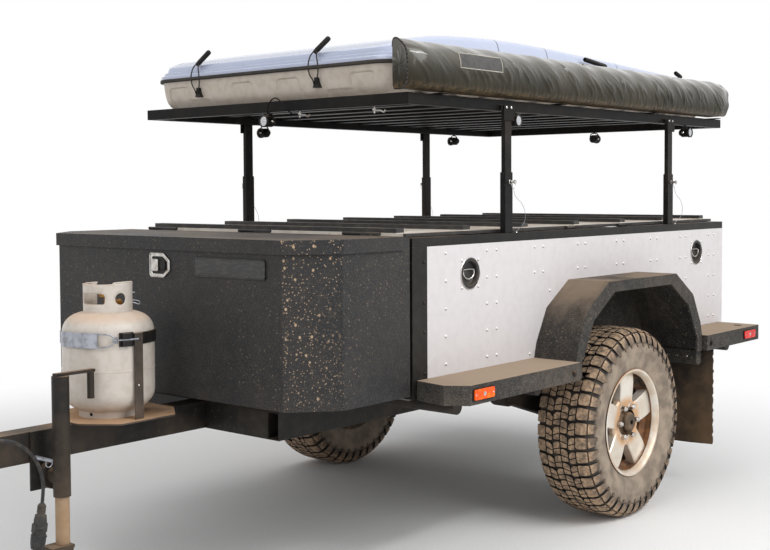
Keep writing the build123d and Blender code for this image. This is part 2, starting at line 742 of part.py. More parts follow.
def make_fender():
    outer = side_plate(arch_outline(0, TUB_BOTTOM), floor_in, FENDER_Y)
    hollow = side_plate(arch_outline(SHEET, TUB_BOTTOM - OVER), WHEEL_BOX_Y,
                        FENDER_Y - LIP_T)
    mouth = side_plate(arch_outline(LIP_H, TUB_BOTTOM - OVER), WHEEL_BOX_Y, FENDER_Y + OVER)
    return outer - hollow - mouth


fender = make_fender()
save("fender_left", fender)
save("fender_right", twin(fender))

# Steps: folded channels along the sides, the front ones with a cut corner
STEP_SETBACK = 27
STEP_CUT_X = 56
STEP_CUT_Y = 75
REAR_STEP_GAP = 12


def channel(points):
    """A step as a folded plate: a flat top and a skirt, open below."""
    skin = floor_plate(points, TUB_BOTTOM, STEP_TOP)
    core = offset(make_face(Polyline(*[(x, y, TUB_BOTTOM) for x, y in points], close=True)),
                  -SHEET, kind=Kind.INTERSECTION)
    return skin - extrude(core, amount=STEP_TOP - TUB_BOTTOM - SHEET, dir=(0, 0, 1))


front_step = channel([
    (ARCH_MID_X + ARCH_REACH, BODY_HALF),
    (STEP_FRONT - STEP_SETBACK, BODY_HALF),
    (STEP_FRONT, STEP_Y - STEP_CUT_Y),
    (STEP_FRONT - STEP_CUT_X, STEP_Y),
    (ARCH_MID_X + ARCH_REACH, STEP_Y),
])
rear_step = channel([
    (-STEP_REAR, BODY_HALF),
    (ARCH_MID_X - ARCH_REACH - REAR_STEP_GAP, BODY_HALF),
    (ARCH_MID_X - ARCH_REACH - REAR_STEP_GAP, STEP_Y),
    (-STEP_REAR, STEP_Y),
])
save("front_steps", *pair(front_step))
save("rear_steps", *pair(rear_step))

LAMP_L = 130
LAMP_H = 46
LAMP_T = 8
lamp_z = (TUB_BOTTOM + STEP_TOP) / 2
LAMP_INSETS = [131, 115]
AMBER_X = STEP_FRONT - LAMP_INSETS[0]
RED_X = -STEP_REAR + LAMP_INSETS[1]
markers = [block(x - LAMP_L / 2, x + LAMP_L / 2, STEP_Y, STEP_Y + LAMP_T,
                 lamp_z - LAMP_H / 2, lamp_z + LAMP_H / 2) for x in (AMBER_X, RED_X)]
save("amber_lamps", *pair(markers[0]))

TAIL_W = 40
TAIL_H = 150
TAIL_T = 16
TAIL_LIFT = 243
TAIL_Z = TUB_BOTTOM + TAIL_LIFT
tail_y = floor_half - REAR_POST / 2
tail = block(-TUB_REAR - TAIL_T, -TUB_REAR, tail_y - TAIL_W / 2, tail_y + TAIL_W / 2,
             TAIL_Z - TAIL_H / 2, TAIL_Z + TAIL_H / 2)
save("red_lamps", *pair(markers[1]), *pair(tail))

FLAP_BACK = 80
FLAP_INSET = 116
FLAP_W = 278
FLAP_T = 6
FLAP_H = 452
FLAP_X = ARCH_MID_X - ARCH_REACH - FLAP_BACK
FLAP_IN = TYRE_MID_Y - FLAP_INSET
FLAP_OUT = FLAP_IN + FLAP_W
FLAP_LOW = TUB_BOTTOM - FLAP_H
flap = block(FLAP_X - FLAP_T, FLAP_X, FLAP_IN, FLAP_OUT, FLAP_LOW, TUB_BOTTOM)
save("mud_flaps", *pair(flap))

# Front box: open above, with cut front corners, and its hinged lid


def box_plan(grow):
    """The box's plan as (x, y) points, grown outward by a margin."""
    front = BOX_FRONT + grow
    half = BODY_HALF + grow
    chamfer_y = BOX_CHAMFER_Y + grow / 2
    chamfer_x = BOX_CHAMFER_X + grow / 2
    corner = [(BOX_REAR, half), (chamfer_x, half), (front, chamfer_y)]
    return corner + [(x, -y) for x, y in reversed(corner)]


box = floor_plate(box_plan(0), BOX_BOTTOM, LID_TOP - BOX_WALL - MOVE)
box_core = [(x + BOX_WALL if x == BOX_REAR else x, y) for x, y in box_plan(-BOX_WALL)]
box -= floor_plate(box_core, BOX_BOTTOM + BOX_WALL, LID_TOP + OVER)

LID_T = 8
lid_plan = [(LID_REAR if x == BOX_REAR else x, y) for x, y in box_plan(LID_OVERHANG)]
lid_core = [(x - OVER if x == LID_REAR else x, y) for x, y in
            [(LID_REAR if x == BOX_REAR else x, y) for x, y in box_plan(LID_OVERHANG - SHEET)]]
lid = floor_plate(lid_plan, LID_BOTTOM, LID_TOP)
lid -= floor_plate(lid_core, LID_BOTTOM - OVER, LID_TOP - LID_T)

# A fixed strip behind the lid closes the box's top and carries the hinge
LID_HINGE_R = 6
LID_HINGE_L = 90
LID_HINGE_SHARES = [-0.74, 0, 0.74]
lid_hinge_x = LID_REAR - MOVE / 2
lid_hinge_z = LID_TOP + LID_HINGE_R + FIT
box += block(BOX_REAR, LID_REAR - MOVE, -BODY_HALF, BODY_HALF,
             LID_TOP - BOX_WALL - MOVE, LID_TOP - MOVE)
for y in [share * BODY_HALF for share in LID_HINGE_SHARES]:
    box += rod((lid_hinge_x, y - LID_HINGE_L, lid_hinge_z), (lid_hinge_x, y - FIT, lid_hinge_z),
               LID_HINGE_R)
    box += block(lid_hinge_x - LID_HINGE_R, lid_hinge_x, y - LID_HINGE_L, y - FIT,
                 LID_TOP - MOVE, lid_hinge_z)
    lid += rod((lid_hinge_x, y + FIT, lid_hinge_z), (lid_hinge_x, y + LID_HINGE_L, lid_hinge_z),
               LID_HINGE_R)
    lid += block(lid_hinge_x, lid_hinge_x + LID_HINGE_R, y + FIT, y + LID_HINGE_L, LID_TOP,
                 lid_hinge_z)
save("front_box", box)
save("box_lid", lid)

PLATE_W = 114
PLATE_H = 87
PLATE_T = 4
PLATE_DROP = 56
PLATE_Z = LID_BOTTOM - PLATE_DROP
PADDLE_W = 52
PADDLE_H = 60
PADDLE_T = 10
latch = block(BOX_FRONT, BOX_FRONT + PLATE_T, -PLATE_W / 2, PLATE_W / 2,
              PLATE_Z - PLATE_H / 2, PLATE_Z + PLATE_H / 2)
latch += block(BOX_FRONT + PLATE_T, BOX_FRONT + PLATE_T + PADDLE_T, -PADDLE_W / 2,
               PADDLE_W / 2, PLATE_Z - PADDLE_H / 2, PLATE_Z + PADDLE_H / 2)
save("box_latch", latch)

NAME_INSET = 74
NAME_W = 359
NAME_DROP = 19
NAME_H = 69
NAME_Y1 = BOX_CHAMFER_Y - NAME_INSET
NAME_Y0 = NAME_Y1 - NAME_W
NAME_Z1 = LID_BOTTOM - NAME_DROP
NAME_Z0 = NAME_Z1 - NAME_H
NAME_T = 8
save("blank_plate", block(BOX_FRONT, BOX_FRONT + NAME_T, NAME_Y0, NAME_Y1, NAME_Z0, NAME_Z1))

# Gas cylinder on its tray, with a guard, a valve and a clamped band
TRAY_T = 6
TRAY_GAP = 7
TRAY_LEDGE = 25
TRAY_SIDE = 32
TRAY_REAR = BOX_FRONT + TRAY_GAP
TRAY_FRONT = CYL_X + CYL_R + TRAY_LEDGE
TRAY_HALF = CYL_R + TRAY_SIDE
TRAY_END = 75
TRAY_CUT = 90
tray = floor_plate([
    (TRAY_REAR, -TRAY_END),
    (TRAY_REAR + TRAY_CUT, -TRAY_HALF),
    (TRAY_FRONT - TRAY_CUT, -TRAY_HALF),
    (TRAY_FRONT, -TRAY_END),
    (TRAY_FRONT, TRAY_END),
    (TRAY_FRONT - TRAY_CUT, TRAY_HALF),
    (TRAY_REAR + TRAY_CUT, TRAY_HALF),
    (TRAY_REAR, TRAY_END),
], FRAME_TOP, FRAME_TOP + TRAY_T)
BAR_W = 34
BAR_T = 6
BAND_T = 5
BAND_H = 40
BAND_LIFT = 255
cyl_z = FRAME_TOP + TRAY_T
band_z = cyl_z + BAND_LIFT
bar_y = CYL_R + FIT + BAND_T
for bar in pair(block(CYL_X - BAR_W / 2, CYL_X + BAR_W / 2, bar_y, bar_y + BAR_T,
                      cyl_z, band_z + BAND_H)):
    tray += bar
save("cylinder_tray", tray)

FOOT_R = 104
FOOT_H = 36
DOME_H = 70
COLLAR_R = 98
COLLAR_H = 105
COLLAR_WALL = 4
shoulder_z = cyl_z + CYL_H - COLLAR_H
body = rod((CYL_X, 0, cyl_z + FOOT_H / 2), (CYL_X, 0, shoulder_z), CYL_R)
body = fillet(body.edges().filter_by(GeomType.CIRCLE), DOME_H)
foot = rod((CYL_X, 0, cyl_z), (CYL_X, 0, cyl_z + FOOT_H), FOOT_R)
foot -= rod((CYL_X, 0, cyl_z - OVER), (CYL_X, 0, cyl_z + FOOT_H / 2), FOOT_R - COLLAR_WALL)
collar = rod((CYL_X, 0, shoulder_z), (CYL_X, 0, shoulder_z + COLLAR_H), COLLAR_R)
collar -= rod((CYL_X, 0, shoulder_z - OVER), (CYL_X, 0, shoulder_z + COLLAR_H + OVER),
              COLLAR_R - COLLAR_WALL)
WINDOW_H = 48
WINDOW_W = 80
window_z = shoulder_z + COLLAR_H / 2
collar -= block(CYL_X, CYL_X + CYL_R, -WINDOW_W, 0, window_z - WINDOW_H / 2,
                window_z + WINDOW_H / 2)
collar -= rod((CYL_X, WINDOW_W / 2, window_z), (CYL_X + CYL_R, WINDOW_W / 2 + WINDOW_H, window_z),
              WINDOW_H / 2)
collar -= block(CYL_X - CYL_R, CYL_X, -WINDOW_W / 2, WINDOW_W / 2, shoulder_z + WINDOW_H / 2,
                shoulder_z + COLLAR_H + OVER)
save("gas_cylinder", body + foot + collar)

VALVE_R = 15
KNOB_R = 32
KNOB_H = 22
SPOUT_L = 52
valve = rod((CYL_X, 0, shoulder_z), (CYL_X, 0, shoulder_z + COLLAR_H / 2), VALVE_R)
valve += rod((CYL_X, 0, shoulder_z + COLLAR_H / 2),
             (CYL_X, 0, shoulder_z + COLLAR_H / 2 + KNOB_H), KNOB_R)
valve += rod((CYL_X, 0, shoulder_z + COLLAR_H / 4),
             (CYL_X - SPOUT_L, 0, shoulder_z + COLLAR_H / 4), VALVE_R)
save("cylinder_valve", valve)

band = rod((CYL_X, 0, band_z), (CYL_X, 0, band_z + BAND_H), CYL_R + FIT + BAND_T)
band -= rod((CYL_X, 0, band_z - OVER), (CYL_X, 0, band_z + BAND_H + OVER), CYL_R + FIT)
for slot in pair(block(CYL_X - BAR_W / 2, CYL_X + BAR_W / 2, CYL_R + FIT + BAND_T, bar_y + OVER,
                       band_z - OVER, band_z + BAND_H + OVER)):
    band -= slot

BUCKLE_L = 120
BUCKLE_T = 12
BUCKLE_H = 46
buckle_r = CYL_R + FIT + BAND_T + FIT
buckle = rod((CYL_X, 0, band_z - FIT), (CYL_X, 0, band_z - FIT + BUCKLE_H), buckle_r + BUCKLE_T)
buckle -= rod((CYL_X, 0, band_z - OVER), (CYL_X, 0, band_z + BUCKLE_H + OVER), buckle_r)
buckle &= block(CYL_X, CYL_X + 2 * CYL_R, -BUCKLE_L / 2, BUCKLE_L / 2, band_z - OVER,
                band_z + BUCKLE_H + OVER)
save("cylinder_band", band, buckle)

# Telescoping posts and the raised rack
LOWER_L = 51
LOWER_W = 25.4
LOWER_WALL = 3
UPPER_L = 44
UPPER_W = 18.8
UPPER_WALL = 3
UPPER_SEAT = 42
lowers = []
uppers = []
for x in RACK_POST_X:
    lower = box_tube(x - LOWER_L / 2, x + LOWER_L / 2, RACK_POST_Y - LOWER_W / 2,
                     RACK_POST_Y + LOWER_W / 2, RAIL_TOP, JOINT_Z, LOWER_WALL, 2)
    upper = box_tube(x - UPPER_L / 2, x + UPPER_L / 2, RACK_POST_Y - UPPER_W / 2,
                     RACK_POST_Y + UPPER_W / 2, JOINT_Z - UPPER_SEAT, RACK_Z, UPPER_WALL, 2)
    lowers += pair(lower)
    uppers += pair(upper)
save("lower_posts", *lowers)
save("upper_posts", *uppers)

BRACKET_W = 70
BRACKET_H = 38
BRACKET_T = 5
brackets = []
for x in RACK_POST_X:
    face = RACK_POST_Y + UPPER_W / 2
    plate = block(x - BRACKET_W / 2, x + BRACKET_W / 2, face, face + BRACKET_T,
                  RACK_Z - BRACKET_H, RACK_Z + RACK_H / 2)
    brackets += pair(plate)

RACK_BAR = 38
RACK_POST_GRIP = RACK_POST_Y + UPPER_W / 2 - RACK_HALF
rack = block(-RACK_REAR, RACK_FRONT, -RACK_HALF, RACK_HALF, RACK_Z, RACK_Z + RACK_H)
rack -= block(-RACK_REAR + RACK_BAR, RACK_FRONT - RACK_BAR, -RACK_HALF + RACK_BAR,
              RACK_HALF - RACK_BAR, RACK_Z - OVER, RACK_Z + RACK_H + OVER)
SEAT_L = 90
for x in RACK_POST_X:
    for ear in pair(block(x - SEAT_L / 2, x + SEAT_L / 2, RACK_HALF,
                          RACK_HALF + RACK_POST_GRIP, RACK_Z, RACK_Z + RACK_H / 2)):
        rack += ear
save("rack_frame", rack)

SLATS = 12
SLAT_W = 58
SLAT_T = 14
slat_y = RACK_HALF - RACK_BAR
slat_z = RACK_Z + RACK_H - SLAT_T
slat_step = (RACK_FRONT + RACK_REAR - 2 * RACK_BAR) / (SLATS + 1)
slats = []
for number in range(1, SLATS + 1):
    x = -RACK_REAR + RACK_BAR + number * slat_step
    slats.append(block(x - SLAT_W / 2, x + SLAT_W / 2, -slat_y, slat_y, slat_z,
                       slat_z + SLAT_T))
save("rack_slats", *slats)

# Flood lamps under the rack: one at each end and two along each side
FLOOD_R = 24
FLOOD_L = 60
FLOOD_ARM = 10
FLOOD_DROP = 34
flood_z = RACK_Z - FLOOD_DROP
FLOOD_SIDE_X = [600, -880]


def flood(x, y, out_x, out_y):
    """A lamp body that looks outward, hung on a short arm from the rack."""
    start = (x - out_x * FLOOD_L / 2, y - out_y * FLOOD_L / 2, flood_z)
    end = (x + out_x * FLOOD_L / 2, y + out_y * FLOOD_L / 2, flood_z)
    return rod(start, end, FLOOD_R) + rod((x, y, flood_z), (x, y, RACK_Z), FLOOD_ARM)


rail_mid = RACK_HALF - RACK_BAR / 2
floods = [flood(RACK_FRONT - RACK_BAR / 2, 0, 1, 0), flood(-RACK_REAR + RACK_BAR / 2, 0, -1, 0)]
for x in FLOOD_SIDE_X:
    floods += pair(flood(x, rail_mid, 0, 1))
save("flood_lamps", *floods)

# Hard-shell tent: a tray below the seal and a domed lid above it
TENT_CORNER = 110
TRAY_TAPER = 22
TENT_WALL = 24
TENT_FLOOR = 20
LID_RISE = 170
DOME_TAPER = 16
DOME_FRONT_RISE = 66
DOME_CREST_RISE = 152
DOME_REAR_RISE = 84
DOME_CREST_X = 420
DOME_SHOULDER_X = 900
DOME_SHOULDER_RISE = 133
tent_base_z = RACK_Z + RACK_H
tent_mid_x = (TENT_FRONT - TENT_REAR) / 2
tent_mid_y = (TENT_LEFT - TENT_RIGHT) / 2
tent_l = TENT_FRONT + TENT_REAR
tent_w = TENT_LEFT + TENT_RIGHT


def tent_plan(z, inset):
    """The tent's rounded plan at a height."""
    sketch = RectangleRounded(tent_l - 2 * inset, tent_w - 2 * inset, TENT_CORNER - inset)
    return Pos(tent_mid_x, tent_mid_y, z) * sketch


tray_depth = SEAL_Z - FIT / 2 - tent_base_z
tray_top = SEAL_Z - FIT / 2
tent_hull = extrude(tent_plan(tray_top, 0), amount=-tray_depth, taper=TRAY_TAPER)
floor_top = tent_base_z + TENT_FLOOR
tent_slab = tent_hull & block(-2 * tent_l, 2 * tent_l, -tent_w, tent_w, tent_base_z, floor_top)
tent_rim = tent_hull - extrude(tent_plan(tray_top, TENT_WALL), amount=-tray_depth,
                               taper=TRAY_TAPER)
tent_rim -= block(-2 * tent_l, 2 * tent_l, -tent_w, tent_w, tent_base_z - OVER, floor_top + FIT)

# Knuckles along the rear edge, in turn on the tray and on the lid
TENT_HINGE_L = 80
TENT_HINGE_SHARES = [-0.62, 0, 0.62]
tent_hinge_x = -TENT_REAR - TENT_HINGE_R - FIT
tent_hinge_y = [tent_mid_y + share * tent_w / 2 for share in TENT_HINGE_SHARES]
leaf_end = -TENT_REAR + TENT_WALL / 2
for y in tent_hinge_y:
    tent_rim += rod((tent_hinge_x, y - TENT_HINGE_L, SEAL_Z), (tent_hinge_x, y - FIT, SEAL_Z),
                    TENT_HINGE_R)
    tent_rim += block(tent_hinge_x, leaf_end, y - TENT_HINGE_L, y - FIT,
                      SEAL_Z - 2 * TENT_HINGE_R, tray_top)
save("tent_tray", tent_slab, tent_rim)

lid_low = SEAL_Z + FIT / 2


def dome(inset, z_drop):
    """The tent lid's outer form, or its inside when inset."""
    hull = extrude(tent_plan(lid_low, inset), amount=LID_RISE, taper=DOME_TAPER)
    front = TENT_FRONT + OVER
    rear = -TENT_REAR - OVER
    low = SEAL_Z - z_drop
    nose = ThreePointArc((front, 0, low + DOME_FRONT_RISE),
                         (DOME_SHOULDER_X, 0, low + DOME_SHOULDER_RISE),
                         (DOME_CREST_X, 0, low + DOME_CREST_RISE))
    rest = Polyline((DOME_CREST_X, 0, low + DOME_CREST_RISE), (rear, 0, low + DOME_REAR_RISE),
                    (rear, 0, lid_low), (front, 0, lid_low), (front, 0, low + DOME_FRONT_RISE))
    cutter = extrude(make_face([nose, rest]), amount=tent_w, both=True, dir=(0, 1, 0))
    return hull & cutter


tent_lid = dome(0, 0) - dome(TENT_WALL, TENT_WALL)
for y in tent_hinge_y:
    tent_lid += rod((tent_hinge_x, y + FIT, SEAL_Z), (tent_hinge_x, y + TENT_HINGE_L, SEAL_Z),
                    TENT_HINGE_R)
    tent_lid += block(tent_hinge_x, leaf_end, y + FIT, y + TENT_HINGE_L, lid_low,
                      SEAL_Z + 2 * TENT_HINGE_R)
save("tent_lid", tent_lid)

TENT_LATCH_Y = [-420, 260]
CATCH_W = 26
CATCH_H = 90
CATCH_T = 12
catches = []
for y in TENT_LATCH_Y:
    catches.append(block(TENT_FRONT + FIT, TENT_FRONT + FIT + CATCH_T, y - CATCH_W / 2,
                         y + CATCH_W / 2, SEAL_Z - CATCH_H, SEAL_Z - FIT / 2))
save("tent_catches", *catches)

# Awning in its bag, on brackets along the left rail of the rack
AWNING_CORNER_SHARE = 0.34
ANGLE_T = 4
ANGLE_W = 40
ANGLE_X = [1100, 300, -500, -1150]
angle_z = RACK_Z + RACK_H
awning_low = angle_z + ANGLE_T + FIT
awning_corner = AWNING_W * AWNING_CORNER_SHARE
bag_plan = Plane(origin=(-TENT_REAR, (AWNING_IN + AWNING_OUT) / 2, awning_low + AWNING_H / 2),
                 x_dir=(0, 1, 0), z_dir=(1, 0, 0))
bag = extrude(bag_plan * RectangleRounded(AWNING_W, AWNING_H, awning_corner),
              AWNING_FRONT + TENT_REAR)
save("awning_bag", bag)
angles = [block(x - ANGLE_W / 2, x + ANGLE_W / 2, RACK_HALF - RACK_BAR, AWNING_OUT - awning_corner,
                angle_z, angle_z + ANGLE_T) for x in ANGLE_X]
save("rack_brackets", *brackets, *angles)

# Jack: a pivoted tube beside the drawbar, a sliding leg, a swivelling fork and a wheel
BRACKET_PLATE_T = 8
PIVOT_DISC_R = 46
PIVOT_PIN_R = 12
BRACKET_HALF = 70
BOSS_L = 14
BOSS_R = 28.75
jack_in = JACK_Y - JACK_TUBE_R
pivot_face = jack_in - BOSS_L
bracket = block(JACK_X - BRACKET_HALF, JACK_X + BRACKET_HALF, BEAM_W / 2, BEAM_W / 2 + BRACKET_PLATE_T,
                JACK_PIVOT_Z - PIVOT_DISC_R, FRAME_TOP)
bracket += rod((JACK_X, BEAM_W / 2, JACK_PIVOT_Z), (JACK_X, pivot_face - FIT, JACK_PIVOT_Z),
               PIVOT_DISC_R)
bracket += rod((JACK_X, BEAM_W / 2, JACK_PIVOT_Z), (JACK_X, jack_in - FIT, JACK_PIVOT_Z),
               PIVOT_PIN_R)
save("jack_bracket", bracket)

TUBE_UP = 330
TUBE_DOWN = 64
TUBE_T = 5
LEG_R = JACK_TUBE_R - TUBE_T - FIT
LEG_T = 4
FORK_GAP = 41.7
CROWN_T = 10
crown_z = 2 * JACK_WHEEL_R + FORK_GAP + CROWN_T
leg_low = crown_z + FIT
tube = rod((JACK_X, JACK_Y, JACK_PIVOT_Z - TUBE_DOWN), (JACK_X, JACK_Y, JACK_PIVOT_Z + TUBE_UP),
           JACK_TUBE_R)
tube += rod((JACK_X, pivot_face, JACK_PIVOT_Z), (JACK_X, JACK_Y, JACK_PIVOT_Z), BOSS_R)
tube -= rod((JACK_X, JACK_Y, JACK_PIVOT_Z - TUBE_DOWN - OVER),
            (JACK_X, JACK_Y, JACK_PIVOT_Z + TUBE_UP - TUBE_T), JACK_TUBE_R - TUBE_T)
tube -= rod((JACK_X, pivot_face - OVER, JACK_PIVOT_Z), (JACK_X, jack_in, JACK_PIVOT_Z),
            PIVOT_PIN_R + RUN)
tube -= rod((JACK_X, JACK_Y + JACK_TUBE_R, JACK_PIVOT_Z),
            (JACK_X, JACK_Y + 2 * JACK_TUBE_R, JACK_PIVOT_Z), PIVOT_DISC_R)

CRANK_ARM = 130
CRANK_W = 22
CRANK_T = 10
GRIP_L = 88
CRANK_GRIP_R = 12
jack_top = JACK_PIVOT_Z + TUBE_UP
crank = block(JACK_X - CRANK_ARM, JACK_X + CRANK_W, JACK_Y - CRANK_W / 2, JACK_Y + CRANK_W / 2,
              jack_top, jack_top + CRANK_T)
crank += rod((JACK_X - CRANK_ARM + CRANK_GRIP_R, JACK_Y, jack_top - GRIP_L),
             (JACK_X - CRANK_ARM + CRANK_GRIP_R, JACK_Y, jack_top), CRANK_GRIP_R)
save("jack_tube", tube, crank)

LEG_UP = 150
leg = rod((JACK_X, JACK_Y, leg_low), (JACK_X, JACK_Y, JACK_PIVOT_Z + LEG_UP),
          LEG_R)
leg -= rod((JACK_X, JACK_Y, leg_low + LEG_T),
           (JACK_X, JACK_Y, JACK_PIVOT_Z + LEG_UP + OVER), LEG_R - LEG_T)
save("jack_leg", leg)

WHEEL_HALF = 24
CHEEK_T = 5
CHEEK_GAP = 3
cheek_in = WHEEL_HALF + CHEEK_GAP
axle_x = JACK_X + JACK_TRAIL
fork = block(JACK_X - LEG_R, axle_x + LEG_R, JACK_Y - cheek_in - CHEEK_T,
             JACK_Y + cheek_in + CHEEK_T, crown_z - CROWN_T, crown_z)
CHEEK_LOW_W = 26
cheek = side_plate([
    (JACK_X - LEG_R, crown_z),
    (axle_x + LEG_R, crown_z),
    (axle_x + CHEEK_LOW_W / 2, JACK_WHEEL_R - CHEEK_LOW_W / 2),
    (axle_x - CHEEK_LOW_W / 2, JACK_WHEEL_R - CHEEK_LOW_W / 2),
], JACK_Y + cheek_in, JACK_Y + cheek_in + CHEEK_T)
fork += cheek
fork += Pos(0, -2 * cheek_in - CHEEK_T, 0) * cheek
AXLE_PIN_R = 8
fork += rod((axle_x, JACK_Y - cheek_in - CHEEK_T, JACK_WHEEL_R),
            (axle_x, JACK_Y + cheek_in + CHEEK_T, JACK_WHEEL_R), AXLE_PIN_R)
save("jack_fork", fork)

wheel = rod((axle_x, JACK_Y - WHEEL_HALF, JACK_WHEEL_R), (axle_x, JACK_Y + WHEEL_HALF, JACK_WHEEL_R),
            JACK_WHEEL_R)
wheel -= rod((axle_x, JACK_Y - WHEEL_HALF - OVER, JACK_WHEEL_R),
             (axle_x, JACK_Y + WHEEL_HALF + OVER, JACK_WHEEL_R), AXLE_PIN_R + RUN)
save("jack_wheel", wheel)

# Lead: the cable that hangs from the gland, and its plug
CABLE_R = 5.5
RUN_SHARE = 0.45

# Route as (x, y, z) measured from the gland's mouth
ROUTE_STEPS = [
    (0, 0, 0),
    (0, 48, 0),
    (-10, 94, 20),
    (-42, 126, 48),
    (-90, 142, 64),
    (-145, 148, 71),
    (-200, 150, 62),
    (-248, 150, 36),
    (-286, 148, -4),
    (-310, 146, -52),
    (-320, 144, -104),
    (-314, 142, -154),
]
ROUTE = [(GLAND_X + x, gland_y + y, GLAND_Z + z) for x, y, z in ROUTE_STEPS]


def tangent_radii(points):
    """The largest arc that each corner's two runs allow."""
    radii = []
    for before, here, after in zip(points, points[1:], points[2:]):
        run_in = Vector(*here) - Vector(*before)
        run_out = Vector(*after) - Vector(*here)
        turn = math.radians(run_in.get_angle(run_out))
        shorter = min(run_in.length, run_out.length)
        radii.append(RUN_SHARE * shorter / math.tan(turn / 2))
    return radii


radii = tangent_radii(ROUTE)
path = FilletPolyline(*ROUTE, radius=radii)
start_plane = Plane(origin=ROUTE[0], z_dir=Vector(*ROUTE[1]) - Vector(*ROUTE[0]))
cable = sweep(start_plane * Circle(CABLE_R), path=path)
print("cable radii", [round(radius) for radius in radii])
print("cable length", round(path.length), "section times length",
      round(math.pi * CABLE_R ** 2 * path.length), "volume", round(cable.volume))
save("lead_cable", cable)

PLUG_R = 24
PLUG_L = 120
BOOT_R = 14
BOOT_L = 34
plug_dir = (Vector(*ROUTE[-1]) - Vector(*ROUTE[-2])).normalized()
boot_end = Vector(*ROUTE[-1]) + plug_dir * BOOT_L
plug_end = boot_end + plug_dir * PLUG_L
plug = rod(ROUTE[-1], tuple(boot_end), BOOT_R) + rod(tuple(boot_end), tuple(plug_end), PLUG_R)
save("lead_plug", plug)
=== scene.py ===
import json
import math
import bmesh
import bpy
import numpy as np
from mathutils import Matrix, Vector
from mathutils.geometry import delaunay_2d_cdt


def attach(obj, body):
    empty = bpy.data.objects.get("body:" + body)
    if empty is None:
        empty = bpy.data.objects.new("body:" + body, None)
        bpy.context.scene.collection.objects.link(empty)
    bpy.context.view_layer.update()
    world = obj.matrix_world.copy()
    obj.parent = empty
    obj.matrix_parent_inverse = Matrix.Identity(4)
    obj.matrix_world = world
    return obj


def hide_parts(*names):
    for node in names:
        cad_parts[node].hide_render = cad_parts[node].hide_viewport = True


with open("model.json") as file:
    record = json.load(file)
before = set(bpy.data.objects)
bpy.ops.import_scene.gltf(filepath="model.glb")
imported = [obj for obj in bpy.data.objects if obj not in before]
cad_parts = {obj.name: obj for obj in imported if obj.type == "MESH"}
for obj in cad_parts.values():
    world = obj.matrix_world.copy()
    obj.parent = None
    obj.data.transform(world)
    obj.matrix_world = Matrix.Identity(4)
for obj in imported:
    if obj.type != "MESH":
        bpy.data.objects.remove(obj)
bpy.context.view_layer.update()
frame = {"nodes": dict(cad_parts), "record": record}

bpy.context.scene.view_settings.view_transform = "Standard"

# The camera stands ahead of the trailer's left front corner, a little above the box's lid.
# Its axis is level with the horizon's height in the picture, above the middle of the frame,
# so a small shift lowers the frame.
camera = bpy.data.objects.new("camera", bpy.data.cameras.new("camera"))
bpy.context.scene.collection.objects.link(camera)
bpy.context.scene.camera = camera
camera_place = (3.757, 3.466, 1.413)
view_turn, view_rise, view_roll = np.radians((130.5, 2.6, -0.3)).tolist()
back = Vector((math.sin(view_turn) * math.cos(view_rise),
               -math.cos(view_turn) * math.cos(view_rise), math.sin(view_rise)))
side = Vector((0, 0, 1)).cross(back).normalized()
axes = Matrix((side, back.cross(side), back)).transposed().to_4x4()
camera.matrix_world = (Matrix.Translation(camera_place) @ axes
                       @ Matrix.Rotation(view_roll, 4, "Z"))
camera.data.sensor_width = 36
camera.data.lens = 56.67
camera.data.shift_x = -0.0013
camera.data.shift_y = -0.0403
camera.data.clip_start = 0.05


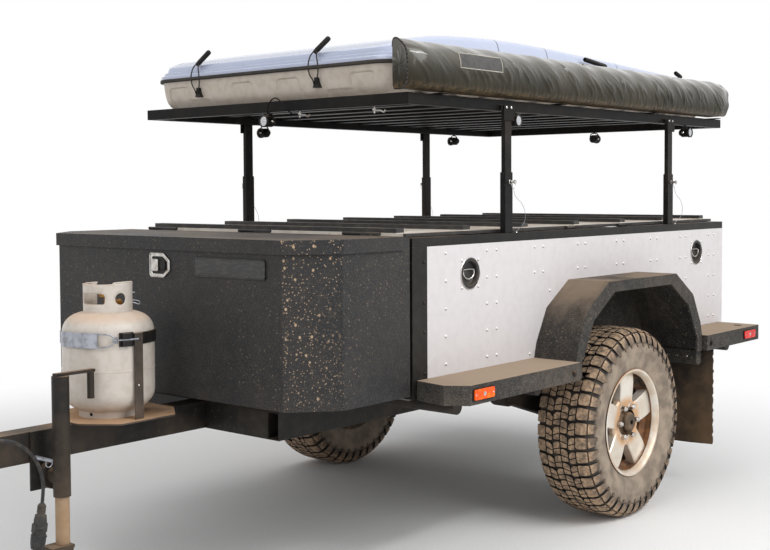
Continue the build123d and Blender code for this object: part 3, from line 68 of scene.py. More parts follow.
class Link:
    """A socket in a material's node tree. Arithmetic on it adds Math nodes."""

    def __init__(self, tree, socket=None):
        self.tree = tree
        self.socket = socket

    def add(self, kind, sockets, output=0, **settings):
        """Adds a node, sets it up, then gives its sockets their values or links."""
        node = self.tree.nodes.new(kind)
        for name, value in settings.items():
            setattr(node, name, value)
        for name, value in sockets.items():
            if isinstance(value, Link):
                self.tree.links.new(value.socket, node.inputs[name])
            else:
                node.inputs[name].default_value = value
        return Link(self.tree, node.outputs[output])

    def maths(self, operation, *values):
        """A Math node on the given values or links."""
        return self.add("ShaderNodeMath", dict(enumerate(values)), operation=operation)

    def __add__(self, other):
        return self.maths("ADD", self, other)

    def __sub__(self, other):
        return self.maths("SUBTRACT", self, other)

    def __mul__(self, other):
        return self.maths("MULTIPLY", self, other)

    def __rsub__(self, other):
        return self.maths("SUBTRACT", other, self)

    __radd__ = __add__
    __rmul__ = __mul__

    def most(self, other):
        """The larger of this and another link."""
        return self.maths("MAXIMUM", self, other)

    def size(self):
        """Its value without the sign."""
        return self.maths("ABSOLUTE", self)

    def axis(self, letter):
        """One coordinate of a vector."""
        return self.add("ShaderNodeSeparateXYZ", {"Vector": self}, output=letter)

    def above(self, low, high):
        """0 below low, 1 above high, smooth between them."""
        return self.add("ShaderNodeMapRange", {"Value": self, "From Min": low, "From Max": high},
                        interpolation_type="SMOOTHSTEP")

    def blend(self, under, over):
        """Two colours mixed by this link: the first at 0, the second at 1. Each is a link, a
        shader's colour of four numbers, or three numbers as on a screen."""
        under, over = (shade if isinstance(shade, Link) or len(shade) == 4 else colour(*shade)
                       for shade in (under, over))
        return self.add("ShaderNodeMix", {0: self, 6: under, 7: over}, output=2, data_type="RGBA")

    def noise(self, scale, detail=3, rough=0.55, stretch=None, seed=0.0):
        """Noise on this coordinate link, 0 to 1, drawn out along an axis when stretched."""
        place = self
        if stretch or seed:
            place = self.add("ShaderNodeMapping", {"Vector": self, "Scale": stretch or (1, 1, 1),
                                                   "Location": (seed, seed * 2, -seed)})
        return self.add("ShaderNodeTexNoise", {"Vector": place, "Scale": scale, "Detail": detail,
                                               "Roughness": rough})

    def cells(self, scale, stretch=None, spread=1.0):
        """Distance to the nearest of scattered points, which keep to a grid at no spread."""
        place = self
        if stretch:
            place = self.add("ShaderNodeMapping", {"Vector": self, "Scale": stretch})
        return self.add("ShaderNodeTexVoronoi", {"Vector": place, "Scale": scale,
                                                 "Randomness": spread})


def colour(red, green, blue):
    """A colour written as on a screen, 0 to 255, as the shader wants it."""
    screen = np.array([red, green, blue]) / 255
    linear = np.where(screen < 0.0405, screen / 12.92, ((screen + 0.055) / 1.055) ** 2.4)
    return (*linear, 1)


class Finish(Link):
    """A material under way: its object coordinates, its surface's slope and its shader."""

    def __init__(self, name, **constants):
        material = bpy.data.materials.new(name)
        material.use_nodes = True
        super().__init__(material.node_tree)
        self.material = material
        self.shader = material.node_tree.nodes["Principled BSDF"]
        for socket, value in constants.items():
            self.shader.inputs[socket.replace("_", " ")].default_value = value
        self.at = self.add("ShaderNodeTexCoord", {}, output="Object")

    def upward(self):
        """How far the surface faces up, from -1 to 1."""
        return self.facing().axis("Z")

    def facing(self):
        """The direction that the surface faces, in the piece's own axes."""
        return self.add("ShaderNodeTexCoord", {}, output="Normal")

    def height(self):
        """Height above the ground."""
        return self.at.axis("Z")

    def shows(self, **links):
        """Links what varies over the surface to the shader's sockets."""
        for socket, link in links.items():
            self.tree.links.new(link.socket, self.shader.inputs[socket.replace("_", " ")])
        return self

    def relief(self, *layers):
        """Bump nodes stacked on the normal: (height link, distance in metres, strength)."""
        normal = None
        for height, distance, strength in layers:
            sockets = {"Height": height, "Distance": distance, "Strength": strength}
            if normal:
                sockets["Normal"] = normal
            normal = self.add("ShaderNodeBump", sockets)
        return self.shows(Normal=normal)


def paint(objects, finish):
    """Gives objects one finish in every material slot."""
    for item in objects:
        if not item.data.materials:
            item.data.materials.append(finish.material)
        for number in range(len(item.material_slots)):
            item.material_slots[number].link = "OBJECT"
            item.material_slots[number].material = finish.material


def carried(*nodes):
    """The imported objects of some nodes."""
    return [frame["nodes"][node] for node in nodes]

# The lead from the trailer to the tow vehicle's socket, unplugged: a round black rubber cable
# out of a gland on the coupler's sleeve. It rises, turns over and hangs by its own weight.
lead_route = [
    (1.918, 0.064, 0.590), (1.918, 0.112, 0.590), (1.908, 0.158, 0.610), (1.876, 0.190, 0.638),
    (1.828, 0.206, 0.654), (1.773, 0.212, 0.661), (1.718, 0.214, 0.652), (1.670, 0.214, 0.626),
    (1.632, 0.212, 0.586), (1.608, 0.210, 0.538), (1.598, 0.208, 0.486), (1.604, 0.206, 0.436),
]


def cord(name, route, radius, sides, steps):
    """A round cord: a curve along a route of points, bevelled to its radius."""
    curve = bpy.data.curves.new(name, "CURVE")
    curve.dimensions = "3D"
    curve.bevel_depth = radius
    curve.bevel_resolution = sides
    curve.resolution_u = steps
    curve.use_fill_caps = True
    spline = curve.splines.new("NURBS")
    spline.points.add(len(route) - 1)
    for point, place in zip(spline.points, route):
        point.co = (*place, 1)
    spline.order_u = 3
    spline.use_endpoint_u = True
    item = bpy.data.objects.new(name, curve)
    bpy.context.scene.collection.objects.link(item)
    return item


lead = cord("lead", lead_route, 0.0055, sides=4, steps=8)
lead_rubber = Finish("lead_rubber", Roughness=0.55)
scuffs = lead_rubber.at.noise(60, 4)
lead_rubber.shows(Base_Color=scuffs.above(0.45, 0.7).blend((26, 26, 27), (70, 62, 54)))
lead_rubber.relief((lead_rubber.at.noise(400, 2), 0.0004, 0.5))
paint([lead], lead_rubber)

# Plain studio: a pale floor, a white world that lights from all round, and four soft lamps,
# the strongest above the left side, as the sky lights the trailer in the picture.
world = bpy.data.worlds.new("studio")
bpy.context.scene.world = world
world.use_nodes = True
world.node_tree.nodes.clear()


def looking(tree):
    """1 for rays that come from the camera, straight or by a mirror or glass."""
    rays = tree.nodes.new("ShaderNodeLightPath")
    seen = Link(tree, rays.outputs["Is Camera Ray"])
    for ray in ("Is Glossy Ray", "Is Transmission Ray"):
        seen = seen.most(Link(tree, rays.outputs[ray]))
    return seen


seen = looking(world.node_tree)
glow = seen.add("ShaderNodeBackground", {"Color": (1, 1, 1, 1), "Strength": seen * 0.45 + 0.55})
out = world.node_tree.nodes.new("ShaderNodeOutputWorld")
world.node_tree.links.new(glow.socket, out.inputs["Surface"])

# Lamp as (name, place, what it looks at, width, height, power)
lamps = [
    ("key", (-0.4, 5.2, 4.2), (-0.3, 0, 0.9), 4.0, 4.0, 165),
    ("strip", (-0.6, 4.4, 4.4), (-0.3, 0, 1.2), 4.6, 0.35, 75),
    ("front", (5.4, 1.0, 3.4), (0.4, 0, 0.8), 3.0, 3.0, 60),
    ("top", (-0.4, -0.6, 5.2), (-0.4, 0, 0.5), 4.0, 4.0, 50),
]
for name, place, target, width, height, power in lamps:
    data = bpy.data.lights.new(name, "AREA")
    data.shape = "RECTANGLE"
    data.size, data.size_y = width, height
    data.energy = power
    lamp = bpy.data.objects.new(name, data)
    aim = (Vector(place) - Vector(target)).to_track_quat("Z", "Y")
    lamp.matrix_world = Matrix.Translation(place) @ aim.to_matrix().to_4x4()
    bpy.context.scene.collection.objects.link(lamp)

# The floor fades to white around the trailer, where the camera sees it, so no horizon shows
floor_half = 40
floor_mesh = bpy.data.meshes.new("floor")
floor_mesh.from_pydata([(-floor_half, -floor_half, 0), (floor_half, -floor_half, 0),
                        (floor_half, floor_half, 0), (-floor_half, floor_half, 0)],
                       [], [(0, 1, 2, 3)])
floor = bpy.data.objects.new("floor", floor_mesh)
bpy.context.scene.collection.objects.link(floor)
pale = Finish("floor", Base_Color=(0.82, 0.82, 0.82, 1), Roughness=0.9)
grit = pale.at.noise(90, 4)
pale.shows(Base_Color=grit.above(0.3, 0.7).blend((0.84, 0.84, 0.84, 1), (0.88, 0.88, 0.88, 1)))
away = pale.add("ShaderNodeVectorMath", {0: pale.at}, output="Value", operation="LENGTH")
white = pale.add("ShaderNodeEmission", {"Color": (1, 1, 1, 1), "Strength": 1.0})
studio_floor = pale.add("ShaderNodeMixShader",
                        {"Fac": away.above(1.9, 4.6) * looking(pale.tree),
                         1: Link(pale.tree, pale.shader.outputs["BSDF"]), 2: white})
pale.tree.links.new(studio_floor.socket, pale.tree.nodes["Material Output"].inputs["Surface"])
paint([floor], pale)

# Chassis: welded rectangular steel tube, a drawbar, two rails and cross members, with round
# outriggers for the steps. Satin black paint over the welds, dulled by road dust.
home = {node: body for body, nodes in frame["record"]["behaviour"]["bodies"].items()
        for node in nodes}


def weathered(name, base, worn, dust, tops=0.7, film=0.3, specks=0.0, low=0.9, grain=0.0003,
              grain_scale=700, rough=0.5, metallic=0.0, flung=0.0, gloss=0.5, pebbles=0.0,
              bare=0.30):
    """A painted or moulded finish: two tones in broad patches, dust lying on what faces up,
    a film of dust that thickens towards the ground, dried drops of mud, and more of them
    flung on the faces turned both forward and outward. A coarse coating shows light pebbles.
    Below the bare level of the patches no dust lies."""
    finish = Finish(name, Metallic=metallic, Specular_IOR_Level=gloss)
    patches = finish.at.noise(3.5, 5)
    tone = finish.at.noise(28, 4).above(0.40, 0.72).blend(base, worn)
    if pebbles:
        grit = finish.at.noise(190, 2, 0.6).above(0.46, 0.66) * pebbles
        tone = grit.blend(tone, (132, 129, 125))
    lying = finish.upward().above(0.35, 0.95) * patches.above(bare, bare + 0.32) * tops
    near_ground = finish.height().above(low, 0.1)
    clinging = patches.above(0.38, 0.75) * (near_ground * 0.7 + 0.3) * film
    cover = lying.most(clinging)
    if specks:
        drop = 1 - finish.at.cells(52).above(0.10, 0.20)
        fine = 1 - finish.at.cells(120).above(0.12, 0.22)
        where = finish.at.noise(2.1, 3, seed=3.7).above(0.42, 0.62)
        drops = drop.most(fine * 0.8) * where * (near_ground * 0.6 + 0.4)
        cover = cover.most(drops * specks)
    if flung:
        corner = finish.facing().axis("X") * finish.facing().axis("Y").size()
        spray = finish.at.noise(3.2, 3, seed=9.1).above(0.40, 0.58)
        big = 1 - finish.at.cells(34, stretch=(1, 1, 0.8)).above(0.07, 0.20)
        small = 1 - finish.at.cells(95).above(0.14, 0.24)
        cover = cover.most(big.most(small * 0.85) * spray * corner.above(0.22, 0.36) * flung)
    finish.shows(Base_Color=cover.blend(tone, dust),
                 Roughness=cover * (0.9 - rough) + rough + finish.at.noise(60, 2) * 0.08)
    finish.relief((finish.at.noise(grain_scale, 2), grain, 0.8), (cover, 0.0004, 0.4))
    return finish


def dressed(name, mesh, work, finish, body, sharp, bevel, segments=2, harden=False,
            stands_for=None):
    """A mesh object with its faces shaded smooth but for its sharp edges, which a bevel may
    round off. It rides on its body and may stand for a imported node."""
    work.to_mesh(mesh)
    work.free()
    mesh.shade_smooth()
    mesh.set_sharp_from_angle(angle=math.radians(sharp))
    item = bpy.data.objects.new(name, mesh)
    bpy.context.scene.collection.objects.link(item)
    if bevel:
        edges = item.modifiers.new("edges", "BEVEL")
        edges.width = bevel
        edges.segments = segments
        edges.limit_method = "ANGLE"
        edges.angle_limit = math.radians(sharp)
        edges.harden_normals = harden
    paint([item], finish)
    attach(item, body)
    if stands_for:
        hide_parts(stands_for)
    return item


def softened(node, width, finish, segments=2):
    """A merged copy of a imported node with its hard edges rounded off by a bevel."""
    work = bmesh.new()
    work.from_mesh(frame["nodes"][node].data)
    bmesh.ops.remove_doubles(work, verts=work.verts, dist=2e-6)
    bmesh.ops.dissolve_limit(work, angle_limit=math.radians(0.5), verts=work.verts,
                             edges=work.edges)
    return dressed(f"{node}_finished", bpy.data.meshes.new(node), work, finish, home[node],
                   30, width, segments, harden=True, stands_for=node)


frame_paint = weathered("frame_paint", (24, 23, 22), (36, 33, 30), (150, 126, 102), tops=0.75,
                        film=0.35, specks=0.5, low=0.75, rough=0.45, gloss=0.25)
for node in ("drawbar", "frame_rails", "cross_members", "step_outriggers", "suspension_mounts",
             "trailing_arms", "coupler", "jack_bracket"):
    softened(node, 0.002, frame_paint)

# Springs are ribbed rubber bags, dampers are painted tubes, the stub axles bare forged steel
bag_rubber = weathered("bag_rubber", (24, 24, 24), (38, 36, 34),
                       (120, 104, 88), film=0.6, rough=0.7)
ribs = bag_rubber.height().maths("SINE", bag_rubber.height() * 420)
bag_rubber.relief((ribs, 0.004, 1.0))
paint(carried("air_springs"), bag_rubber)
forged = weathered("forged_steel", (66, 62, 58), (92, 80, 68), (140, 112, 86),
                   film=0.6, rough=0.5, metallic=0.7)
paint(carried("dampers", "stub_axles"), forged)

# Wheels. Mud tyres: a rubber carcass, then rows of blocks that wrap over the shoulder, tan
# with dried mud on their faces, painted shade in the grooves, and a plain sidewall.
axle_x, axle_z = -0.852, 0.407
tyre_mid = 0.806
tyre_radius = 0.407
pitches = 42
sides = (("left", 1), ("right", -1))


def quads(rows, columns, wrap_rows=False, wrap_columns=False):
    """Faces of a grid of points: each joins two neighbours in a row and the two beside them."""
    row, column = np.meshgrid(np.arange(rows if wrap_rows else rows - 1),
                              np.arange(columns if wrap_columns else columns - 1), indexing="ij")
    next_row = (row + 1) % rows * columns
    next_column = (column + 1) % columns
    row = row * columns
    return np.stack([row + column, row + next_column, next_row + next_column,
                     next_row + column], -1).reshape(-1, 4)


def capped(rows, columns):
    """Faces of a stack of rings, with the first and the last ring as faces too."""
    return [*quads(rows, columns, wrap_columns=True), list(range(columns)),
            list(range((rows - 1) * columns, rows * columns))]


def joined(*shapes):
    """Shapes as (points, faces) put into one list of points and one of faces."""
    points, faces, start = [], [], 0
    for shape_points, shape_faces in shapes:
        shape_points = np.asarray(shape_points, float).reshape(-1, 3)
        points.append(shape_points)
        faces += [[int(corner) + start for corner in face] for face in shape_faces]
        start += len(shape_points)
    return np.concatenate(points), faces


def piece(name, shape, finish, body, sharp=35, bevel=0.0, stands_for=None):
    """A mesh object from (points, faces), or from a list of such shapes, its normals outward,
    on its body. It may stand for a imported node."""
    points, faces = joined(*shape) if isinstance(shape, list) else shape
    mesh = bpy.data.meshes.new(name)
    mesh.from_pydata(np.asarray(points, float).reshape(-1, 3).tolist(), [],
                     [[int(corner) for corner in face] for face in faces])
    work = bmesh.new()
    work.from_mesh(mesh)
    bmesh.ops.remove_doubles(work, verts=work.verts, dist=1e-6)
    bmesh.ops.recalc_face_normals(work, faces=work.faces)
    return dressed(name, mesh, work, finish, body, sharp, bevel, stands_for=stands_for)


def eased(points, rounds=3):
    """An open line with its corners cut again and again, its ends kept."""
    line = np.asarray(points, float)
    for _ in range(rounds):
        near = line[:-1] * 0.75 + line[1:] * 0.25
        far = line[:-1] * 0.25 + line[1:] * 0.75
        line = np.concatenate([line[:1], np.stack([near, far], 1).reshape(-1, line.shape[1]),
                               line[-1:]])
    return line


def turned(profile, centre, axis, count, start=0.0):
    """A profile of (along, radius) points swept round an axis: each point becomes a ring at
    centre + along * axis, and its angle runs from the start all the way round."""
    along, radius = np.asarray(profile, float).T
    axis = np.asarray(axis, float)
    first = np.cross(axis, (0, 0, 1) if abs(axis[2]) < 0.9 else (1, 0, 0))
    first /= np.linalg.norm(first)
    second = np.cross(axis, first)
    angle = start + np.arange(count) * 2 * math.pi / count
    ring = np.cos(angle)[:, None] * first + np.sin(angle)[:, None] * second
    points = (np.asarray(centre, float) + along[:, None, None] * axis
              + radius[:, None, None] * ring)
    return points.reshape(-1, 3), quads(len(along), count, wrap_columns=True)


# Half the carcass's section as (distance from the wheel's middle plane, radius), in metres
half_section = eased([
    (0.0, 0.3955), (0.060, 0.3950), (0.090, 0.3925), (0.108, 0.3860), (0.120, 0.3720),
    (0.1265, 0.3520), (0.1300, 0.3280), (0.1290, 0.3000), (0.1235, 0.2700), (0.1150, 0.2460),
    (0.1085, 0.2300), (0.1065, 0.2170),
])
run = np.concatenate([[0], np.cumsum(np.hypot(*np.diff(half_section, axis=0).T))])


def on_section(distance):
    """Place and outward direction on the half section at a distance from its middle."""
    place = np.stack([np.interp(distance, run, half_section[:, 0]),
                      np.interp(distance, run, half_section[:, 1])], -1)
    slope = np.gradient(half_section, run, axis=0)
    along = np.stack([np.interp(distance, run, slope[:, 0]),
                      np.interp(distance, run, slope[:, 1])], -1)
    return place, np.stack([-along[..., 1], along[..., 0]], -1)


# Tread blocks as (height, rows of distance across, left edge and right edge), millimetres. The
# blocks of the crown come in pairs with a narrow gap between.
blocks = [
    (10.8, [(2, -27, -2), (12, -29, 0), (24, -26, 3), (33, -16, 6)]),
    (10.8, [(2, 1, 24), (12, 3, 26), (24, 6, 26), (33, 9, 24)]),
    (10.6, [(38, -6, 11), (47, -17, 9), (58, -22, 5), (67, -20, 3)]),
    (10.6, [(38, 14, 29), (47, 12, 32), (58, 8, 30), (67, 6, 28)]),
    (11.0, [(71, -22, 19), (79, -26, 24), (97, -26, 24), (113, -24, 22)]),
    (8.0, [(117, -24, 22), (130, -23, 21), (143, -22, 20), (156, -17, 15)]),
    (3.5, [(161, -21, 2), (165, -21, 2), (169, -19, 0), (173, -17, -2)]),
]


def tread(side):
    """All the blocks of one tyre. Every block is a strip of rows, left and right, raised from
    a foot sunk in the carcass along the section's outward direction."""
    shapes = []
    sunk = 0.003
    strip = quads(4, 2)
    for height, rows in blocks:
        across, left, right = np.array(rows, float).T / 1000
        for hand in (1, -1):
            shift = np.arange(pitches) + (0.5 if hand < 0 else 0.0)
            wide = np.stack([left, right], -1)
            angle = (wide / tyre_radius)[None] + (shift * 2 * math.pi / pitches)[:, None, None]
            place, outward = on_section(np.repeat(across[:, None], 2, 1))
            top = place + outward * height / 1000
            foot = place - outward * sunk
            both = np.stack([foot, top])
            y = side * tyre_mid + hand * both[..., 0]
            radius = np.minimum(both[..., 1], tyre_radius)
            shape = (pitches, 2, 4, 2)
            points = np.stack([
                np.broadcast_to(axle_x + radius * np.sin(angle)[:, None], shape),
                np.broadcast_to(y, shape),
                np.broadcast_to(axle_z + radius * np.cos(angle)[:, None], shape),
            ], -1)
            rim_line = [0, 1, 3, 5, 7, 6, 4, 2]
            walls = [[a, b, b + 8, a + 8] for a, b in zip(rim_line, rim_line[1:] + rim_line[:1])]
            faces = np.array([list(face) for face in strip] + [list(face + 8) for face in strip]
                             + walls)
            every = faces[None] + 16 * np.arange(pitches)[:, None, None]
            shapes.append((points.reshape(-1, 3), every.reshape(-1, 4)))
    return joined(*shapes)


def around_axle(finish):
    """The way from the wheels' axis to a place on the surface, and its length."""
    reach = finish.add("ShaderNodeCombineXYZ", {"X": finish.at.axis("X") - axle_x,
                                                "Z": finish.height() - axle_z})
    return reach, reach.add("ShaderNodeVectorMath", {0: reach}, output="Value", operation="LENGTH")


tyre_rubber = Finish("mud_tyre")
radius = around_axle(tyre_rubber)[1]
mud = tyre_rubber.at.noise(14, 5)
fine_mud = tyre_rubber.at.noise(90, 3)
wall = 1 - radius.above(0.330, 0.352)
rubber = mud.above(0.35, 0.65).blend((34, 31, 29), (66, 58, 51))
sidewall = mud.above(0.30, 0.70).blend((112, 100, 88), (156, 141, 124))
tyre_rubber.shows(Base_Color=wall.blend(rubber, sidewall), Roughness=mud * 0.2 + 0.72)
tyre_rubber.relief((fine_mud, 0.0012, 0.5), (tyre_rubber.at.noise(420, 2), 0.0003, 0.6))

# The blocks are tan on top, where mud has dried; the faces along the tread's grooves are painted
# near black as shade
block_rubber = Finish("mud_blocks")
reach, block_radius = around_axle(block_rubber)
rolling = reach.add("ShaderNodeVectorMath", {0: reach, 1: (0, 1, 0)}, output="Vector",
                    operation="CROSS_PRODUCT")
faced = block_rubber.facing()
turned_round = faced.add("ShaderNodeVectorMath", {0: faced, 1: rolling}, output="Value",
                         operation="DOT_PRODUCT")
# Painted shade in the grooves: faces turned along the rolling direction, and sideways faces at the
# crown
groove_shade = turned_round.size().above(0.10, 0.30)
groove_shade = groove_shade.most(faced.axis("Y").size().above(0.55, 0.85) * block_radius.above(0.386, 0.392))
block_mud = block_rubber.at.noise(14, 5)
block_grit = block_rubber.at.noise(90, 3)
# The blocks grow darker towards the shoulder, where less of the tan shows
towards_shoulder = 1 - block_radius.above(0.352, 0.392)
worn_rubber = block_mud.above(0.35, 0.65).blend((48, 45, 43), (92, 82, 74))
dried = block_grit.above(0.25, 0.75).blend((138, 112, 88), (196, 168, 138))
scraped = block_rubber.at.noise(38, 4, seed=5.3).above(0.36, 0.60)
dry_share = (scraped * 0.65 + 0.35) * (1 - towards_shoulder * 0.60)
block_rubber.shows(Base_Color=groove_shade.blend(dry_share.blend(worn_rubber, dried), (20, 18, 17)),
                   Roughness=block_mud * 0.2 + 0.72)
block_rubber.relief((block_grit, 0.0012, 0.5))

# Two raised rings on the sidewall: each is a bell curve along the section
section_run = np.linspace(0, run[-1], 64)
place, outward = on_section(section_run)
ring_rise = 0.0016 * (np.exp(-((section_run - 0.196) / 0.0022) ** 2)
                      + np.exp(-((section_run - 0.262) / 0.0030) ** 2))
half_line = place + outward * ring_rise[:, None]
full_line = np.concatenate([half_line[::-1], half_line[1:] * (-1, 1)])
inner_line = full_line[::-1] * (0.86, 1) - (0, 0.012)
closed_line = np.concatenate([full_line, inner_line[4:-4], full_line[:1]])
for side, hand in sides:
    body = f"wheel_{side}"
    carcass = turned(closed_line, (axle_x, hand * tyre_mid, axle_z), (0, 1, 0), 136)
    piece(f"tyre_{side}_carcass", carcass, tyre_rubber, body, sharp=60,
          stands_for=f"tyre_{side}")
    piece(f"tyre_{side}_tread", tread(hand), block_rubber, body, sharp=30,
          bevel=0.0012)

# Rims: cast alloy with machined faces, five spokes that widen outward, a stepped barrel and a
# bright lip. The middle and the barrel hold tan dust.
alloy = Finish("machined_alloy", Metallic=0.55)
hub_radius = around_axle(alloy)[1]
smear = alloy.at.noise(9, 5)
dusty_middle = (1 - hub_radius.above(0.085, 0.125)) * (smear.above(0.2, 0.5) * 0.5 + 0.5)
dusty_edge = hub_radius.above(0.19, 0.205) * smear.above(0.35, 0.6) * 0.35
dusty = dusty_middle.most(dusty_edge)
alloy.shows(Base_Color=dusty.blend(smear.above(0.3, 0.7).blend((226, 220, 210), (204, 190, 172)),
                                   (206, 168, 130)), Roughness=dusty * 0.4 + 0.34)
lathe = (hub_radius * 2600).maths("SINE", hub_radius * 2600)
alloy.relief((lathe, 0.0002, 0.25), (alloy.at.noise(300, 2), 0.0002, 0.3))
barrel_dust = weathered("barrel_dust", (46, 38, 32), (104, 74, 50),
                        (184, 126, 80), film=0.9, low=1.2, rough=0.6, metallic=0.3)

disc_face = 0.086
spoke_stations = np.linspace(0.050, 0.2125, 12)


def spoke(turn, side):
    """One spoke: a flat-topped bar with sloping flanks, carried outward from the middle. Its
    half width grows from 46 to 55 mm, and its outer part folds back towards the rim."""
    share = (spoke_stations - 0.050) / 0.161
    half = 0.046 + 0.009 * share
    face = disc_face - 0.009 * (1 - share) ** 2 - 0.006 * np.clip((share - 0.70) / 0.30, 0, 1)
    across = np.stack([-half - 0.004, -half - 0.001, -half + 0.003, half * 0, half - 0.003,
                       half + 0.001, half + 0.004], -1)
    depth = face[:, None] - np.array([0.040, 0.005, 0.0, 0.0, 0.0, 0.005, 0.040])
    out = np.repeat(spoke_stations[:, None], 7, 1)
    points = np.stack([
        axle_x + out * math.sin(turn) + across * math.cos(turn),
        side * (tyre_mid + depth),
        axle_z + out * math.cos(turn) - across * math.sin(turn),
    ], -1)
    return points.reshape(-1, 3), capped(len(spoke_stations), 7)


for side, hand in sides:
    centre = (axle_x, hand * tyre_mid, axle_z)
    barrel = turned([(-0.114, 0.229), (-0.109, 0.2295), (-0.107, 0.2165), (-0.060, 0.2165),
                     (-0.035, 0.200), (0.035, 0.200), (0.056, 0.2165), (0.107, 0.2165),
                     (0.109, 0.2295), (0.1140, 0.2292), (0.1125, 0.221), (0.104, 0.2125),
                     (0.058, 0.209), (0.040, 0.190), (-0.030, 0.190), (-0.058, 0.209),
                     (-0.110, 0.209), (-0.114, 0.229)], centre, (0, hand, 0), 96)
    disc = turned([(0.052, 0.056), (0.074, 0.056), (0.076, 0.062), (0.0765, 0.100),
                   (0.070, 0.106), (0.052, 0.108), (0.052, 0.056)], centre, (0, hand, 0), 72)
    spokes = [spoke(number * 2 * math.pi / 5, hand) for number in range(5)]
    piece(f"rim_{side}_spokes", [disc, *spokes], alloy, f"wheel_{side}", sharp=28,
          stands_for=f"rim_{side}")
    piece(f"rim_{side}_barrel", barrel, barrel_dust, f"wheel_{side}", sharp=40,
          stands_for=f"rim_{side}")
    lip = turned([(0.0885, 0.2095), (0.1035, 0.2120), (0.1122, 0.2205), (0.1137, 0.2285),
                  (0.1143, 0.2290), (0.1143, 0.2200), (0.1045, 0.2112), (0.0885, 0.2080),
                  (0.0885, 0.2095)], centre, (0, hand, 0), 96)
    piece(f"rim_{side}_lip", lip, alloy, f"wheel_{side}", sharp=40)

# Hubs: a dark brake drum and flange behind the rim, six chrome nuts, and a protruding hub
# with a pressed cap, all with dust in the corners.
hub_iron = weathered("hub_iron", (52, 46, 40), (96, 80, 64), (160, 130, 100),
                     film=0.7, low=1.2, rough=0.5, metallic=0.5)
chrome = weathered("chrome", (205, 203, 200), (160, 150, 140),
                   (150, 128, 104), film=0.25, tops=0.3, rough=0.18, metallic=0.95)
for side, hand in sides:
    centre = np.array((axle_x, hand * tyre_mid, axle_z))
    body = f"wheel_{side}"
    softened(f"hub_{side}", 0.002, hub_iron)
    cap = turned([(0.1060, 0.0), (0.1060, 0.010), (0.1035, 0.012), (0.1035, 0.018),
                  (0.1058, 0.020), (0.1058, 0.028), (0.104, 0.031), (0.100, 0.031)], centre,
                 (0, hand, 0), 36)
    cup = turned([(0.090, 0.056), (0.080, 0.060), (0.0772, 0.064), (0.070, 0.064),
                  (0.070, 0.054), (0.088, 0.054), (0.090, 0.056)], centre, (0, hand, 0), 48)
    piece(f"hub_{side}_cap", [cap, cup], hub_iron, body, sharp=40)
    nuts = []
    for number in range(6):
        angle = (number + 0.5) * math.pi / 3
        at = centre + (0.070 * math.sin(angle), 0, 0.070 * math.cos(angle))
        nuts.append(turned([(0.070, 0.013), (0.079, 0.0135), (0.081, 0.0125), (0.096, 0.0120),
                            (0.098, 0.0105), (0.103, 0.0075), (0.105, 0.0035), (0.1055, 0.0)],
                           at, (0, hand, 0), 6))
        nuts.append(turned([(0.072, 0.017), (0.0785, 0.017), (0.080, 0.0145), (0.080, 0.0)],
                           at, (0, hand, 0), 20))
    piece(f"hub_{side}_nuts", nuts, chrome, body, sharp=30)

# Tub sides: composite panels with a satin silver skin, held to the frame behind by rows of
# paired dome rivets, between folded black corner posts. A bracket strip caps the top edge.
silver = weathered("silver_panel", (207, 203, 204), (202, 198, 199), (186, 170, 152), tops=0.3,
                   film=0.06, specks=0.25, low=0.85, grain=0.00006, grain_scale=900, rough=0.45)
stud = weathered("rivet_metal", (212, 208, 206), (184, 178, 172),
                 (150, 130, 110), tops=0.3, film=0.1, rough=0.35, metallic=0.3)
# Painted shade: each rivet head is darker on its downward-facing side
underside_shade = 1 - stud.upward().above(-0.75, -0.05)
stud.shows(Base_Color=underside_shade.blend((226, 223, 221), (112, 104, 98)))
tub_inside = weathered("tub_inside", (150, 148, 146), (120, 117, 112),
                       (150, 132, 112), tops=0.5, film=0.2, rough=0.5, metallic=0.3)
textured_black = weathered("textured_black", (40, 39, 37), (54, 51, 48), (172, 150, 128),
                           tops=0.55, film=0.20, specks=0.85, low=1.1, grain=0.0007,
                           grain_scale=420, rough=0.62, gloss=0.2, pebbles=0.16)
dusty_black = weathered("dusty_black", (44, 42, 40), (60, 56, 52), (164, 145, 125), tops=0.92,
                        film=0.25, specks=0.8, low=1.1, grain=0.0007, grain_scale=420, rough=0.62,
                        gloss=0.2, pebbles=0.22, bare=0.0)
trim_black = weathered("trim_black", (19, 19, 19), (30, 29, 28), (150, 130, 110), tops=0.4,
                       film=0.10, specks=0.3, low=0.9, rough=0.42, gloss=0.22)
for node in ("side_panel_left", "side_panel_right"):
    paint(carried(node), silver)
paint(carried("tub_floor", "front_wall"), tub_inside)
for node in ("corner_posts", "rear_frame", "top_rail"):
    softened(node, 0.0015, trim_black)


def dome(place, outward, radius, rise, count=10):
    """A low rivet head: three rings that shrink as they rise along the outward direction."""
    return turned([(0, radius), (rise * 0.55, radius * 0.86), (rise * 0.92, radius * 0.5),
                   (rise, 0.0)], place, outward, count)


